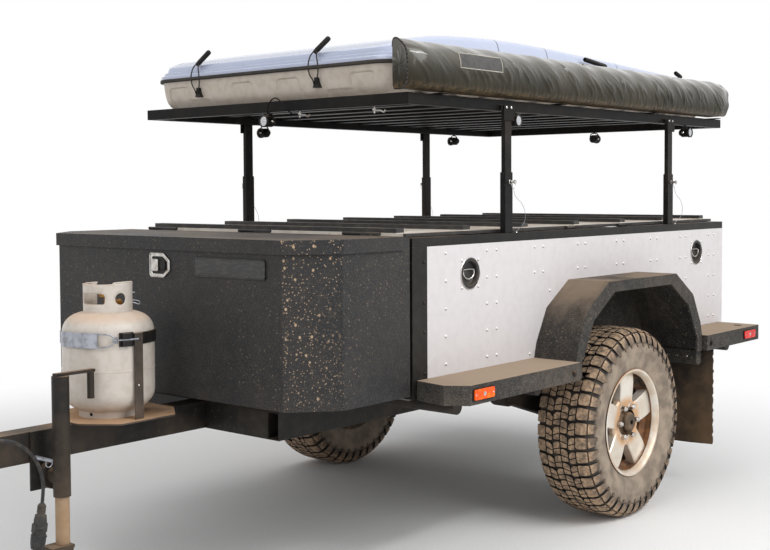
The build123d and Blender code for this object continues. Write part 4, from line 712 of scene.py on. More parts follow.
# Rivet rows as (place along the trailer, how many from the top down), metres: pairs of rows
# follow the frame's uprights, and a few single rivets stand near the arch
rivet_columns = [
    (0.246, 5), (-0.012, 5), (-0.075, 5), (-0.339, 2), (-0.402, 2), (-0.668, 2), (-0.729, 2),
    (-0.993, 2), (-1.055, 2), (-1.305, 2), (-1.365, 2), (-1.600, 2), (-1.661, 3),
    (-1.906, 5), (-1.964, 5),
]
rivet_top, rivet_pitch = 1.177, 0.102
panel_face, post_face = 0.754, 0.755
lone_rivets = [(-0.452, 0.994), (-0.305, 0.748)]
post_rivets = [(0.371, 1.149), (0.371, 1.002), (0.371, 0.897), (0.371, 0.748)]
tie_down_x, tie_down_z, tie_down_rivet = (0.096, -1.772), 1.094, 0.051
for side, hand in sides:
    heads = []
    spots = [(x, rivet_top - number * rivet_pitch) for x, count in rivet_columns
             for number in range(count)] + lone_rivets
    spots += [(x + across * tie_down_rivet, tie_down_z + up * tie_down_rivet)
              for x in tie_down_x for across in (-1, 1) for up in (-1, 1)]
    for x, z in spots:
        heads.append(dome((x, hand * panel_face, z), (0, hand, 0), 0.0064, 0.0046, 12))
    piece(f"rivets_{side}", heads, stud, "chassis")
    posts = [dome((x, hand * post_face, z), (0, hand, 0), 0.0060, 0.0035, 12)
             for x, z in post_rivets]
    piece(f"post_rivets_{side}", posts, trim_black, "chassis")


def tube(line, radius, count=10, closed=False):
    """A round bar along a line: a ring of points square to the line at each of its points,
    kept from twisting by carrying one direction from ring to ring."""
    line = np.asarray(line, float)
    if closed:
        ahead = np.roll(line, -1, 0) - np.roll(line, 1, 0)
    else:
        ahead = np.gradient(line, axis=0)
    ahead /= np.linalg.norm(ahead, axis=1)[:, None]
    start = np.cross(ahead[0], (0.31, 0.17, 0.93))
    firsts = [start / np.linalg.norm(start)]
    for direction in ahead[1:]:
        carried_on = firsts[-1] - direction * (firsts[-1] @ direction)
        firsts.append(carried_on / np.linalg.norm(carried_on))
    firsts = np.array(firsts)
    seconds = np.cross(ahead, firsts)
    angle = np.arange(count) * 2 * math.pi / count
    points = (line[:, None] + radius * (np.cos(angle)[None, :, None] * firsts[:, None]
                                        + np.sin(angle)[None, :, None] * seconds[:, None]))
    faces = quads(len(line), count, True, True) if closed else capped(len(line), count)
    return points.reshape(-1, 3), faces


def circle(count):
    """Points round a circle of radius 1, evenly spaced."""
    turn = np.linspace(0, 2 * math.pi, count, endpoint=False)
    return np.stack([np.cos(turn), np.sin(turn)], -1)


# Tie-down cups: dark pressed pans sunk in the panel, a bright rolled rim between four rivets,
# and a bent wire loop across the pan.
dark_pan = weathered("dark_pan", (44, 42, 40), (66, 62, 58), (110, 96, 82),
                     film=0.3, rough=0.45, metallic=0.4)
cup_parts = []
loops = []
for x in tie_down_x:
    for hand in (1, -1):
        centre = (x, hand * panel_face, tie_down_z)
        out = (0, hand, 0)
        cup_parts.append(turned([(0.0, 0.0605), (0.0022, 0.0595), (0.0026, 0.056), (0.0022, 0.047),
                                 (-0.001, 0.0452), (-0.0145, 0.0440), (-0.0165, 0.041),
                                 (-0.0168, 0.0), (-0.0178, 0.0), (-0.0178, 0.0455), (0.0, 0.0458),
                                 (0.0, 0.0605)], centre, out, 48))
        rim = np.insert((x, tie_down_z) + 0.0598 * circle(48), 1, hand * 0.7552, axis=1)
        loops.append(tube(rim, 0.0022, 8, closed=True))
        turn = np.linspace(0, math.pi, 14)
        bend = np.stack([x - 0.034 * np.cos(turn), np.full(14, hand * 0.7475),
                         1.099 - 0.026 * np.sin(turn)], -1)
        bar = np.array([(x + 0.034, hand * 0.7475, 1.099), (x + 0.034, hand * 0.7455, 1.108),
                        (x, hand * 0.7455, 1.110), (x - 0.034, hand * 0.7455, 1.108)])
        loops.append(tube(np.concatenate([bend, bar]), 0.0026, 8, closed=True))

piece("tie_down_pans", cup_parts, dark_pan, "chassis", sharp=40,
      stands_for="tie_down_cups")
piece("tie_down_loops", loops, chrome, "chassis", sharp=40)

# Deck cover: pale composite panels with black pressed ribs across them, hinged along the left
# rail. The tailgate is a silver panel with a pull latch of bright steel.
deck = Finish("deck_panels")
deck_top = 1.252
rib = deck.height().above(deck_top + 0.0010, deck_top + 0.0022)
dark = rib.most(deck.at.axis("Y").above(0.690, 0.694))
scuffs = deck.at.noise(5, 5, stretch=(1, 3, 1))
pale = scuffs.above(0.35, 0.70).blend((232, 224, 214), (212, 201, 188))
black = deck.at.noise(20, 4).above(0.4, 0.7).blend((38, 37, 36), (62, 58, 54))
dusty = deck.upward().above(0.4, 0.95) * scuffs.above(0.45, 0.62) * 0.45
deck.shows(Base_Color=dusty.blend(dark.blend(pale, black), (168, 148, 126)),
           Roughness=dusty * 0.3 + 0.45 + deck.at.noise(70, 2) * 0.1)
deck.relief((deck.at.noise(500, 2), 0.0004, 0.6))
softened("deck_cover", 0.003, deck, segments=3)
softened("tailgate", 0.002, silver)
softened("tailgate_latch", 0.0015, chrome, segments=3)

# Fenders: folded plate arches with an outer lip, in textured black, sprayed with mud. A small
# bracket with three rivets hangs at the rear end.
for side, hand in sides:
    softened(f"fender_{side}", 0.002, textured_black)
    bracket = np.array([(-1.470, 0.640), (-1.470, 0.600), (-1.446, 0.588), (-1.422, 0.600),
                        (-1.422, 0.657), (-1.470, 0.657)])
    folded = np.concatenate([np.insert(bracket, 1, hand * y, axis=1) for y in (0.720, 0.930)])
    heads = [dome((-1.421, hand * y, 0.628), (1, 0, 0), 0.007, 0.003)
             for y in (0.780, 0.830, 0.880)]
    piece(f"fender_{side}_bracket", (folded, capped(2, 6)), textured_black, "chassis",
          bevel=0.001)
    piece(f"fender_{side}_rivets", heads, chrome, "chassis")

# Steps: folded plates along the sides, dusty on top, with a bolt head near the arch on the
# outer face, a round hole in the rear one's top drawn as a disc of painted shade, and marker
# lamps.
for node in ("front_steps", "rear_steps"):
    softened(node, 0.003, dusty_black)
bolts = []
holes = []
for hand in (1, -1):
    for x in (-0.290, -1.490):
        bolts.append(turned([(0.0, 0.015), (0.002, 0.015), (0.002, 0.010), (0.008, 0.0095),
                             (0.009, 0.0)], (x, hand * 0.972, 0.690), (0, hand, 0), 18))
    holes.append(turned([(0.0, 0.019), (0.0008, 0.0185), (0.0008, 0.0)],
                        (-1.920, hand * 0.905, 0.729), (0, 0, 1), 24))
piece("step_bolts", bolts, frame_paint, "chassis")
shadow = Finish("hole_shadow", Roughness=0.9)
shadow.shows(Base_Color=shadow.at.noise(50).blend((10, 9, 8), (20, 18, 16)))
piece("step_holes", holes, shadow, "chassis")


def moulded(x0, x1, y0, y1, z0, z1, corner, flat):
    """A lamp or housing: a rounded rectangle in one plane, carried through its thickness. The
    flat axis is the one that it is thin along; its outline's corners are quarter circles."""
    low = np.array((x0, y0, z0), float)
    high = np.array((x1, y1, z1), float)
    first, second = [axis for axis in range(3) if axis != flat]
    turn = np.linspace(0, math.pi / 2, 5)
    outline = []
    for number, (u, v) in enumerate(((1, 1), (0, 1), (0, 0), (1, 0))):
        angle = turn + number * math.pi / 2
        reach_u = (low[first] + corner, high[first] - corner)[u]
        reach_v = (low[second] + corner, high[second] - corner)[v]
        outline.append(np.stack([reach_u + corner * np.cos(angle),
                                 reach_v + corner * np.sin(angle)], -1))
    outline = np.concatenate(outline)
    count = len(outline)
    rings = []
    for level in (low[flat], high[flat]):
        ring = np.empty((count, 3))
        ring[:, first], ring[:, second], ring[:, flat] = outline[:, 0], outline[:, 1], level
        rings.append(ring)
    return np.concatenate(rings), capped(2, count)


# Marker lamps: clear coloured lenses, a painted highlight for the bright bulb, in thin black bases
def lens_finish(name, deep, bright):
    """A lens: prismed plastic, its colour lightened in random patches of painted highlight."""
    finish = Finish(name, Roughness=0.25, Specular_IOR_Level=0.25)
    flutes = finish.at.cells(150, spread=0.0)
    painted_glints = finish.at.noise(40, 2).above(0.45, 0.7)
    finish.shows(Base_Color=painted_glints.blend(deep, bright))
    finish.relief((flutes, 0.0012, 0.5))
    return finish


amber = lens_finish("amber_lens", (236, 84, 0), (255, 128, 0))
red = lens_finish("red_lens", (196, 16, 16), (244, 60, 44))
step_face, base_face, lens_face, marker_z = 0.972, 0.9745, 0.980, 0.693
for name, x, lens in (("amber", 0.313, amber), ("red", -1.902, red)):
    shells, faces_on, screws = [], [], []
    for hand in (1, -1):
        shells.append(moulded(x - 0.065, x + 0.065, *sorted((hand * step_face, hand * base_face)),
                              0.670, 0.716, 0.006, 1))
        faces_on.append(moulded(x - 0.060, x + 0.060,
                                *sorted((hand * base_face, hand * lens_face)), 0.674, 0.712,
                                0.008, 1))
        for offset in (-0.052, 0.052):
            screws.append(dome((x + offset, hand * 0.9796, marker_z), (0, hand, 0), 0.004, 0.0009))
        screws.append(dome((x, hand * 0.9797, marker_z), (0, hand, 0), 0.009, 0.0006, 16))
    piece(f"{name}_lenses", faces_on, lens, "chassis", bevel=0.0015,
          stands_for=f"{name}_lamps")
    piece(f"{name}_bases", shells, trim_black, "chassis")
    piece(f"{name}_screws", screws, chrome, "chassis")
tails = []
tail_bases = []
for hand in (1, -1):
    y = hand * 0.707
    tails.append(moulded(-2.0755, -2.066, y - 0.017, y + 0.017, 0.828, 0.972, 0.008, 0))
    tail_bases.append(moulded(-2.067, -2.062, y - 0.020, y + 0.020, 0.825, 0.975, 0.009, 0))
piece("tail_lenses", tails, red, "chassis", bevel=0.002, stands_for="red_lamps")
piece("tail_bases", tail_bases, trim_black, "chassis")

# Mud flaps: thick rubber sheet, stiff, with a rough outer edge and dried mud all over
flap_rubber = weathered("flap_rubber", (40, 33, 26), (62, 50, 38), (112, 88, 62), film=0.75,
                        low=1.0, specks=0.6, rough=0.8, grain=0.0015, grain_scale=180)
flap_rows, flap_columns = 40, 26
for side, hand in sides:
    down, out = np.meshgrid(np.linspace(0, 1, flap_rows), np.linspace(0, 1, flap_columns),
                            indexing="ij")
    ragged = (0.0022 * np.sin(down * 61) + 0.0016 * np.sin(down * 137 + 1.3)) * (out > 0.97)
    bow = 0.0022 * np.sin(down * math.pi) * np.sin(out * math.pi)
    x = -1.5195 + bow - 0.0006 * np.sin(down * 9 + out * 5)
    y = hand * (0.6905 + 0.2755 * out + ragged)
    z = 0.6565 - 0.4505 * down - 0.003 * np.sin(out * 4) * down
    front = np.stack([x, y, z], -1).reshape(-1, 3)
    sheet_faces = quads(flap_rows, flap_columns)
    back_face = sheet_faces[:, ::-1] + len(front)
    edge = np.concatenate([np.arange(flap_columns),
                           np.arange(1, flap_rows) * flap_columns + flap_columns - 1,
                           np.arange(flap_columns - 2, -1, -1) + (flap_rows - 1) * flap_columns,
                           np.arange(flap_rows - 2, 0, -1) * flap_columns])
    rim_faces = [[a, b, b + len(front), a + len(front)] for a, b in zip(edge, np.roll(edge, -1))]
    piece(f"mud_flap_{side}", (np.concatenate([front, front - (0.0045, 0, 0)]),
                               [*sheet_faces, *back_face, *rim_faces]), flap_rubber, "chassis",
          sharp=50, stands_for="mud_flaps")

# Front box: folded sheet in a coarse textured black coating, sprayed with mud on its cut
# corners. The lid overhangs it with a folded edge.
box_black = weathered("box_black", (27, 27, 29), (36, 35, 35), (200, 172, 142), tops=0.16,
                      film=0.05, specks=0.55, low=0.9, grain=0.0014, grain_scale=230, rough=0.5,
                      flung=0.8, gloss=0.35, pebbles=0.09)
softened("front_box", 0.006, box_black, segments=3)
softened("box_lid", 0.004, box_black, segments=3)


def plate(outline, low, high, axis):
    """A flat plate: an outline of (u, v) points in the plane square to an axis, given twice,
    at the plate's two faces."""
    outline = np.asarray(outline, float)
    first, second = [number for number in range(3) if number != axis]
    count = len(outline)
    points = np.empty((2 * count, 3))
    points[:, first] = np.tile(outline[:, 0], 2)
    points[:, second] = np.tile(outline[:, 1], 2)
    points[:, axis] = np.repeat((low, high), count)
    return points, capped(2, count)


def rounded(corners, radius, steps=6):
    """A closed outline whose corners are cut by arcs of one radius: each arc touches both
    sides of its corner."""
    corners = np.asarray(corners, float)
    line = []
    for before, corner, after in zip(np.roll(corners, 1, 0), corners, np.roll(corners, -1, 0)):
        back = (before - corner) / np.linalg.norm(before - corner)
        ahead = (after - corner) / np.linalg.norm(after - corner)
        half = math.acos(np.clip(back @ ahead, -1, 1)) / 2
        middle = corner + (back + ahead) / np.linalg.norm(back + ahead) * radius / math.sin(half)
        start = corner + back * radius / math.tan(half) - middle
        end = corner + ahead * radius / math.tan(half) - middle
        share = np.linspace(0, 1, steps)[:, None]
        arc = start * (1 - share) + end * share
        line.append(middle + arc / np.linalg.norm(arc, axis=1)[:, None] * radius)
    return np.concatenate(line)


# Box latch: a pressed chrome plate, straight on one side and cut on the other, with a rolled
# rim round a dark pan, and a paddle to pull.
latch_z = 1.142
latch_line = [(-0.055, -0.0425), (0.022, -0.0425), (0.055, -0.018), (0.055, 0.018),
              (0.022, 0.0425), (-0.055, 0.0425)]
latch_rim = rounded(latch_line, 0.010) + (0, latch_z)
inner_line = (rounded(latch_line, 0.010) * (0.80, 0.76)) + (0.0, latch_z)
rim_path = np.insert(latch_rim, 0, 0.9605, axis=1)
piece("latch_plate", [plate(latch_rim, 0.957, 0.9595, 0), tube(rim_path, 0.0022, 8, closed=True),
                      tube(np.insert(inner_line, 0, 0.9597, axis=1), 0.0012, 6, closed=True)],
      chrome, "chassis", sharp=40, stands_for="box_latch")
piece("latch_pan", plate(inner_line, 0.9593, 0.9598, 0), trim_black, "chassis")
paddle = rounded([(-0.040, -0.022), (-0.004, -0.022), (-0.004, 0.022), (-0.040, 0.022)], 0.005)
grip = rounded([(0.004, -0.011), (0.030, -0.016), (0.036, 0.0), (0.030, 0.016), (0.004, 0.011)],
               0.004)
piece("latch_paddle", plate(paddle + (0, latch_z), 0.9597, 0.9680, 0),
      chrome, "chassis", sharp=40, bevel=0.002)
piece("latch_grip", plate(grip + (0, latch_z), 0.9597, 0.9645, 0), trim_black, "chassis",
      sharp=40, bevel=0.0015)

# Name plate, left blank: a black moulding with a raised border and a satin field
field = rounded([(0.196, 1.115), (0.545, 1.115), (0.545, 1.174), (0.196, 1.174)], 0.007)
border = rounded([(0.191, 1.110), (0.550, 1.110), (0.550, 1.179), (0.191, 1.179)], 0.010)
plate_black = Finish("plate_black", Coat_Weight=0.15)
streak = plate_black.at.noise(30, 4, stretch=(1, 1, 4))
plate_black.shows(Base_Color=streak.above(0.4, 0.75).blend((26, 26, 27), (58, 56, 54)),
                  Roughness=streak * 0.25 + 0.25)
plate_black.relief((plate_black.at.noise(400, 2), 0.0002, 0.5))
piece("name_plate", [plate(border, 0.957, 0.9625, 0), plate(field, 0.9625, 0.9632, 0),
                     tube(np.insert(rounded([(0.1935, 1.1125), (0.5475, 1.1125), (0.5475, 1.1765),
                                             (0.1935, 1.1765)], 0.009), 0, 0.9628, axis=1), 0.0019,
                          8, closed=True)], plate_black, "chassis", sharp=40,
      stands_for="blank_plate")

# Gas cylinder: two pressed steel halves with a weld round the middle, a foot ring and a collar
# with windows, all in beige enamel; a brass valve stands inside the collar.
cylinder_x = 1.190
enamel = weathered("cylinder_enamel", (203, 195, 186), (192, 183, 172), (206, 176, 150), tops=0.75,
                   film=0.12, specks=0.25, low=0.9, grain=0.00006, grain_scale=600, rough=0.34)
body_line = eased([(0.653, 0.0), (0.653, 0.085), (0.658, 0.108), (0.670, 0.130), (0.688, 0.147),
                   (0.708, 0.156), (0.728, 0.158), (0.760, 0.158)], 2).tolist()
body_line += [(0.797, 0.158), (0.7985, 0.1592), (0.8025, 0.1592), (0.804, 0.158)]
body_line += eased([
    (0.880, 0.158), (0.917, 0.158), (0.937, 0.1565), (0.954, 0.151), (0.969, 0.141),
    (0.981, 0.126), (0.989, 0.108), (0.994, 0.088), (0.997, 0.05), (0.998, 0.0)], 2).tolist()
foot_line = [(0.635, 0.1000), (0.635, 0.1035), (0.637, 0.1040), (0.662, 0.1040),
             (0.668, 0.1065), (0.674, 0.1085), (0.674, 0.1000), (0.635, 0.1000)]
cylinder_axis = (cylinder_x, 0, 0)
piece("cylinder_body", [turned(body_line, cylinder_axis, (0, 0, 1), 96),
                        turned(foot_line, cylinder_axis, (0, 0, 1), 96)], enamel, "chassis",
      stands_for="gas_cylinder")


def inside(points, outline):
    """Which points lie inside a closed outline: an odd number of its edges passes to their
    right."""
    x, y = points[:, 0][:, None], points[:, 1][:, None]
    x0, y0 = outline.T
    x1, y1 = np.roll(outline, -1, 0).T
    spans = (y0 > y) != (y1 > y)
    rise = np.where(y1 == y0, 1e-12, y1 - y0)
    return (spans & (x < (x1 - x0) * (y - y0) / rise + x0)).sum(1) % 2 == 1


def divided(outline, spacing):
    """A closed outline with points added along its sides, no further apart than a spacing."""
    line = []
    for start, end in zip(outline, np.roll(outline, -1, 0)):
        count = max(1, math.ceil(np.linalg.norm(end - start) / spacing))
        line.append(start + (end - start) * np.arange(count)[:, None] / count)
    return np.concatenate(line)


def pierced(outline, holes, spacing):
    """A flat sheet with holes: triangles between its outline, its holes and a grid of points
    that keeps clear of both, so that it can be bent."""
    loops = [divided(np.asarray(loop, float), spacing) for loop in (outline, *holes)]
    low, high = loops[0].min(0), loops[0].max(0)
    grid = np.stack(np.meshgrid(np.arange(low[0], high[0], spacing),
                                np.arange(low[1], high[1], spacing)), -1).reshape(-1, 2)
    border = np.concatenate(loops)
    near = np.min(np.linalg.norm(grid[:, None] - border[None], axis=2), axis=1)
    grid = grid[inside(grid, loops[0]) & (near > spacing * 0.6)]
    for hole in loops[1:]:
        grid = grid[~inside(grid, hole)]
    edges, start = [], 0
    for loop in loops:
        ring = np.arange(len(loop)) + start
        edges += list(zip(ring.tolist(), np.roll(ring, -1).tolist()))
        start += len(loop)
    places = np.concatenate([border, grid])
    points, _, faces, *_ = delaunay_2d_cdt([Vector(place) for place in places], edges, [], 0, 1e-7)
    points = np.array([tuple(point) for point in points])
    faces = np.array(faces)
    middle = points[faces].mean(1)
    keep = inside(middle, loops[0])
    for hole in loops[1:]:
        keep &= ~inside(middle, hole)
    return points, faces[keep]


def thickened(item, depth, offset=-1.0):
    """Gives a sheet its thickness, behind its face, or ahead of it at an offset of 1."""
    wall = item.modifiers.new("wall", "SOLIDIFY")
    wall.thickness = depth
    wall.offset = offset


def wrapped(sheet, radius, foot):
    """Bends a flat sheet round the cylinder: u is the distance round and v the height."""
    angle = sheet[:, 0] / radius
    return np.stack([cylinder_x + radius * np.cos(angle), radius * np.sin(angle),
                     foot + sheet[:, 1]], -1)


# The collar is drawn flat, as (angle, height), and bent. It is open at the back.
collar_r, collar_foot = 0.084, 0.986
collar_top = [(-100, 0.103), (62, 0.103), (65, 0.106), (67, 0.111), (128, 0.111), (131, 0.106),
              (134, 0.103), (160, 0.103)]
arc_scale = (math.pi / 180 * collar_r, 1)
collar_line = np.array([(160, 0.0), (-100, 0.0), *collar_top]) * arc_scale
wide_window = rounded(np.array([(-27, 0.036), (47, 0.036), (47, 0.075), (-27, 0.075)])
                      * arc_scale, 0.011)
round_window = 0.022 * circle(28) + np.array((83.5, 0.055)) * arc_scale
sheet, sheet_faces = pierced(collar_line, [wide_window, round_window], 0.006)
collar = piece("cylinder_collar", (wrapped(sheet, collar_r, collar_foot), sheet_faces), enamel,
               "chassis", sharp=60)
thickened(collar, 0.0026)
rolled = eased(np.array(collar_top) * arc_scale, 2)
hems = [tube(wrapped(rolled, collar_r - 0.001, collar_foot), 0.0028, 8)]
for opening in (wide_window, round_window):
    hems.append(tube(wrapped(opening, collar_r - 0.001, collar_foot), 0.0018, 6, closed=True))
piece("collar_hems", hems, enamel, "chassis")

brass = weathered("valve_brass", (186, 140, 70), (142, 102, 52),
                  (150, 120, 90), film=0.3, rough=0.35, metallic=0.85)
softened("cylinder_valve", 0.0015, brass)


def hoop(radius, low, high, thick, start, end, count=40):
    """A strip bent round the cylinder between two angles in degrees: a rectangle carried
    along an arc."""
    angle = np.radians(np.linspace(start, end, count))[:, None]
    reach = np.array([radius, radius + thick, radius + thick, radius])
    points = np.stack([cylinder_x + reach * np.cos(angle), reach * np.sin(angle),
                       np.broadcast_to((low, low, high, high), (count, 4))], -1)
    return points.reshape(-1, 3), capped(count, 4)


# Clamp: a black steel band from the flat bars, closed by a zinc over-centre buckle whose loop
# pulls a hooked bolt through a folded ear.
zinc = weathered("zinc", (168, 172, 182), (122, 124, 130), (150, 134, 116),
                 tops=0.3, film=0.2, specks=0.2, rough=0.32, metallic=0.8)
band_low, band_high = 0.8895, 0.9305
piece("band_hoop",
      [hoop(0.1585, band_low, band_high, 0.0045, 80, 392, 90),
       hoop(0.1585, 0.886, 0.934, 0.0045, 66, 84), hoop(0.1630, 0.888, 0.906, 0.0120, 69, 79, 8),
       hoop(0.1630, 0.914, 0.932, 0.0120, 69, 79, 8)], trim_black, "chassis",
      bevel=0.001, stands_for="cylinder_band")
buckle_side = [hoop(0.1640, z, z + 0.0025, 0.0075, 24, 45) for z in (0.8840, 0.9335)]
piece("buckle_lever", [hoop(0.1645, 0.8845, 0.9355, 0.0028, -19, 28),
                       hoop(0.1690, 0.8840, 0.9360, 0.0028, 24, 41), *buckle_side], zinc,
      "chassis", bevel=0.0008)
loop_line = np.array([(24, 0.8870), (40, 0.8870), (52, 0.8885), (58, 0.8950), (60, 0.9100),
                      (58, 0.9250), (52, 0.9315), (40, 0.9330), (24, 0.9330)])
loop_line = eased(loop_line, 3)
angle = np.radians(loop_line[:, 0])
loop_path = np.stack([cylinder_x + 0.1690 * np.cos(angle), 0.1690 * np.sin(angle),
                      loop_line[:, 1]], -1)
bolt_angle = np.radians([59, 62, 66, 74, 82, 89])
bolt_path = np.stack([cylinder_x + 0.1700 * np.cos(bolt_angle), 0.1700 * np.sin(bolt_angle),
                      np.full(6, 0.910)], -1)
nut_at = bolt_path[1]
piece("buckle_loop", [tube(loop_path, 0.0026, 8), tube(eased(bolt_path, 2), 0.0032, 10),
                      tube(nut_at + np.array([(0, 0, -0.011), (0, 0, 0.011)]), 0.0042, 10)], zinc,
      "chassis")
wire_angle = math.radians(143)
across = np.array([math.cos(wire_angle), math.sin(wire_angle), 0])
along = np.array([-across[1], across[0], 0])
wire = [across * r + along * s + (0, 0, z) for r, s, z in
        ((0.070, 0, 1.030), (0.096, 0.002, 1.030), (0.110, 0.004, 1.024), (0.108, 0.006, 1.014),
         (0.098, 0.006, 1.017), (0.086, 0.004, 1.022))]
piece("valve_clip", [tube(eased(np.array(wire) + (cylinder_x, 0, 0), 2), 0.0014, 6),
                     tube(np.array([across * 0.074, across * 0.092]) + (cylinder_x, 0, 1.057),
                          0.0022, 8)], zinc, "chassis")

# Tray and bars: bent plate in black paint, thick with tan dust on top
tray_paint = weathered("tray_paint", (34, 32, 31), (52, 48, 44),
                       (188, 152, 118), tops=1.0, film=0.35, specks=0.5, rough=0.5)
softened("cylinder_tray", 0.0012, tray_paint)
piece("bar_studs", [dome((cylinder_x + 0.002, hand * 0.1695, 0.752), (0, hand, 0), 0.004, 0.002,
                         12) for hand in (1, -1)], chrome, "chassis")
# A hole in the foot ring, drawn as a thin disc of painted shade
hole_way = np.array([math.cos(math.radians(17.5)), math.sin(math.radians(17.5)), 0])
piece("foot_hole", turned([(0.0, 0.006), (0.0003, 0.006), (0.0003, 0.0)],
                          np.array((cylinder_x, 0, 0.649)) + hole_way * 0.1039, hole_way, 16),
      shadow, "chassis")

# Telescoping posts: rectangular steel tube in satin black, the inner one worn where it slides.
# A bright pull pin locks each, and a thin wire lanyard keeps the pin from getting lost.
post_paint = weathered("post_paint", (14, 14, 15), (24, 23, 22), (150, 130, 110), tops=0.4,
                       film=0.2, specks=0.2, low=1.3, rough=0.38, gloss=0.15)
for node in ("lower_posts", "upper_posts"):
    softened(node, 0.0025, post_paint, segments=3)
post_x = (-0.168, -1.510)
face, pin_z = 0.7487, 1.438
post_pins = []
for x in post_x:
    for hand in (1, -1):
        pin_at = np.array((x - 0.004, hand * face, pin_z))
        post_pins.append(turned([(0.0, 0.0085), (0.003, 0.0085), (0.004, 0.0065), (0.014, 0.0062),
                                 (0.015, 0.0045), (0.022, 0.0045), (0.0235, 0.0080),
                                 (0.028, 0.0078), (0.029, 0.0)], pin_at, (0, hand, 0), 18))
        ring = np.insert((x - 0.004, 1.4265) + 0.0135 * circle(26)[:, ::-1], 1,
                         hand * (face + 0.0190), axis=1)
        post_pins.append(tube(ring, 0.0011, 6, closed=True))
        lug = np.array((x - 0.062, hand * 0.7395, 1.2385))
        post_pins.append(dome(lug, (0, 0, 1), 0.0065, 0.0045, 14))
        wire_route = [(x - 0.004, face + 0.0190, 1.4130), (x - 0.006, face + 0.0200, 1.3900),
                      (x - 0.022, face + 0.0230, 1.3720), (x - 0.052, face + 0.0250, 1.3550),
                      (x - 0.080, face + 0.0230, 1.3200), (x - 0.092, face + 0.0140, 1.2820),
                      (x - 0.076, face + 0.0020, 1.2560), (x - 0.062, 0.7395, 1.2430)]
        wire_route = [(wire_x, hand * wire_y, wire_z) for wire_x, wire_y, wire_z in wire_route]
        place = ("front" if x > -1 else "rear") + ("_left" if hand > 0 else "_right")
        lanyard = cord(f"lanyard_{place}", wire_route, 0.0009, sides=2, steps=6)
        paint([lanyard], zinc)
        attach(lanyard, "chassis")
piece("post_pins", post_pins, chrome, "chassis", sharp=40)

# Rack: welded square tube with round-edged cross slats, powder coated black. Clamps with two
# bolts each hold it on the posts.
rack_black = weathered("rack_black", (10, 10, 11), (17, 16, 16), (140, 122, 104), tops=0.35,
                       film=0.10, low=0.9, grain=0.0003, grain_scale=500, rough=0.42, gloss=0.12)
for node in ("rack_frame", "rack_slats"):
    softened(node, 0.003, rack_black, segments=3)

# Flood lamps: finned black housings on bent straps, with a bright reflector behind the glass
lamp_z, lamp_roof = 1.681, 1.715
lamps = [((0.409, 0.0), (1, 0)), ((-2.068, 0.0), (-1, 0)), ((-0.252, 0.711), (0, 1)),
         ((-0.252, -0.711), (0, -1)), ((-1.732, 0.711), (0, 1)), ((-1.732, -0.711), (0, -1))]
housing_line = [(-0.030, 0.0), (-0.030, 0.010), (-0.027, 0.014), (-0.018, 0.016)]
for fin in np.arange(-0.016, 0.012, 0.006):
    housing_line += [(fin, 0.016), (fin, 0.0215), (fin + 0.003, 0.0215), (fin + 0.003, 0.016)]
housing_line += [(0.016, 0.018), (0.018, 0.0235), (0.029, 0.0240), (0.030, 0.0232),
                 (0.030, 0.0205), (0.026, 0.0200), (0.026, 0.0)]
housings, glasses, straps, strap_bolts = [], [], [], []
for (x, y), (out_x, out_y) in lamps:
    at, out, side = (x, y, lamp_z), (out_x, out_y, 0), np.array((-out_y, out_x, 0))
    housings.append(turned(housing_line, at, out, 32))
    glasses.append(turned([(0.0262, 0.0199), (0.0285, 0.012), (0.0290, 0.0)], at, out, 28))
    yoke = [side * s + (0, 0, z) for s, z in ((-0.026, -0.004), (-0.026, 0.018),
                                              (-0.020, 0.0285), (0.0, 0.031), (0.020, 0.0285),
                                              (0.026, 0.018), (0.026, -0.004))]
    straps.append(tube(eased(np.array(yoke) + at, 2), 0.0028, 8))
    straps.append(tube(np.array([(x, y, lamp_z + 0.028), (x, y, lamp_roof)]), 0.005, 12))
    for hand in (-1, 1):
        strap_bolts.append(dome(np.array(at) + side * hand * 0.0245, side * hand, 0.006, 0.005,
                                12))
piece("lamp_housings", housings, trim_black, "rack", sharp=30,
      stands_for="flood_lamps")
piece("lamp_straps", straps, rack_black, "rack")
piece("lamp_bolts", strap_bolts, chrome, "rack")
reflector = Finish("lamp_reflector", Roughness=0.12, Coat_Weight=1.0, Coat_Roughness=0.03)
facets = reflector.at.cells(170, spread=0.3)
reflector.shows(Base_Color=facets.above(0.15, 0.5).blend((250, 250, 250), (176, 178, 182)),
                Metallic=facets * 0.4 + 0.3)
piece("lamp_glasses", glasses, reflector, "rack")
clamp_bolts = []
for x in post_x:
    for hand in (1, -1):
        for offset in (-0.016, 0.016):
            clamp_bolts.append(dome((x + offset, hand * 0.7480, 1.728), (0, hand, 0), 0.0065,
                                    0.004, 14))
softened("rack_brackets", 0.0012, rack_black)
piece("clamp_bolts", clamp_bolts, chrome, "rack")

# Rigging under the front rail: two bright bolts with wing nuts, which clamp the tent's mounting
# track through a slat gap, and the front lamp's cable, which arcs over the rail's face
rack_nose, bolt_x = 0.4470, 0.400
wing_bolts = []
for y in (0.165, 0.547):
    wing_bolts.append(tube(np.array([(bolt_x, y, 1.716), (bolt_x, y, 1.690)]), 0.0032, 8))
    wing_bolts.append(turned([(0.0, 0.0075), (0.006, 0.0075)], (bolt_x, y, 1.700), (0, 0, 1), 6))
    wings = [(bolt_x, y + across, z) for across, z in (
        (0, 1.699), (0.022, 1.700), (0.036, 1.698), (0.044, 1.690), (0.052, 1.700))]
    wing_bolts.append(tube(eased(np.array(wings), 2), 0.0032, 8))
piece("wing_bolts", wing_bolts, chrome, "rack")
cable = [(0.405, 0.014, 1.702), (rack_nose, 0.030, 1.716), (rack_nose + 0.004, 0.048, 1.752),
         (rack_nose, 0.078, 1.772), (rack_nose + 0.002, 0.112, 1.752), (rack_nose, 0.140, 1.722),
         (0.425, 0.150, 1.700), (0.402, 0.160, 1.703)]
piece("lamp_cable", tube(eased(np.array(cable), 3), 0.0026, 8), rack_black, "rack")

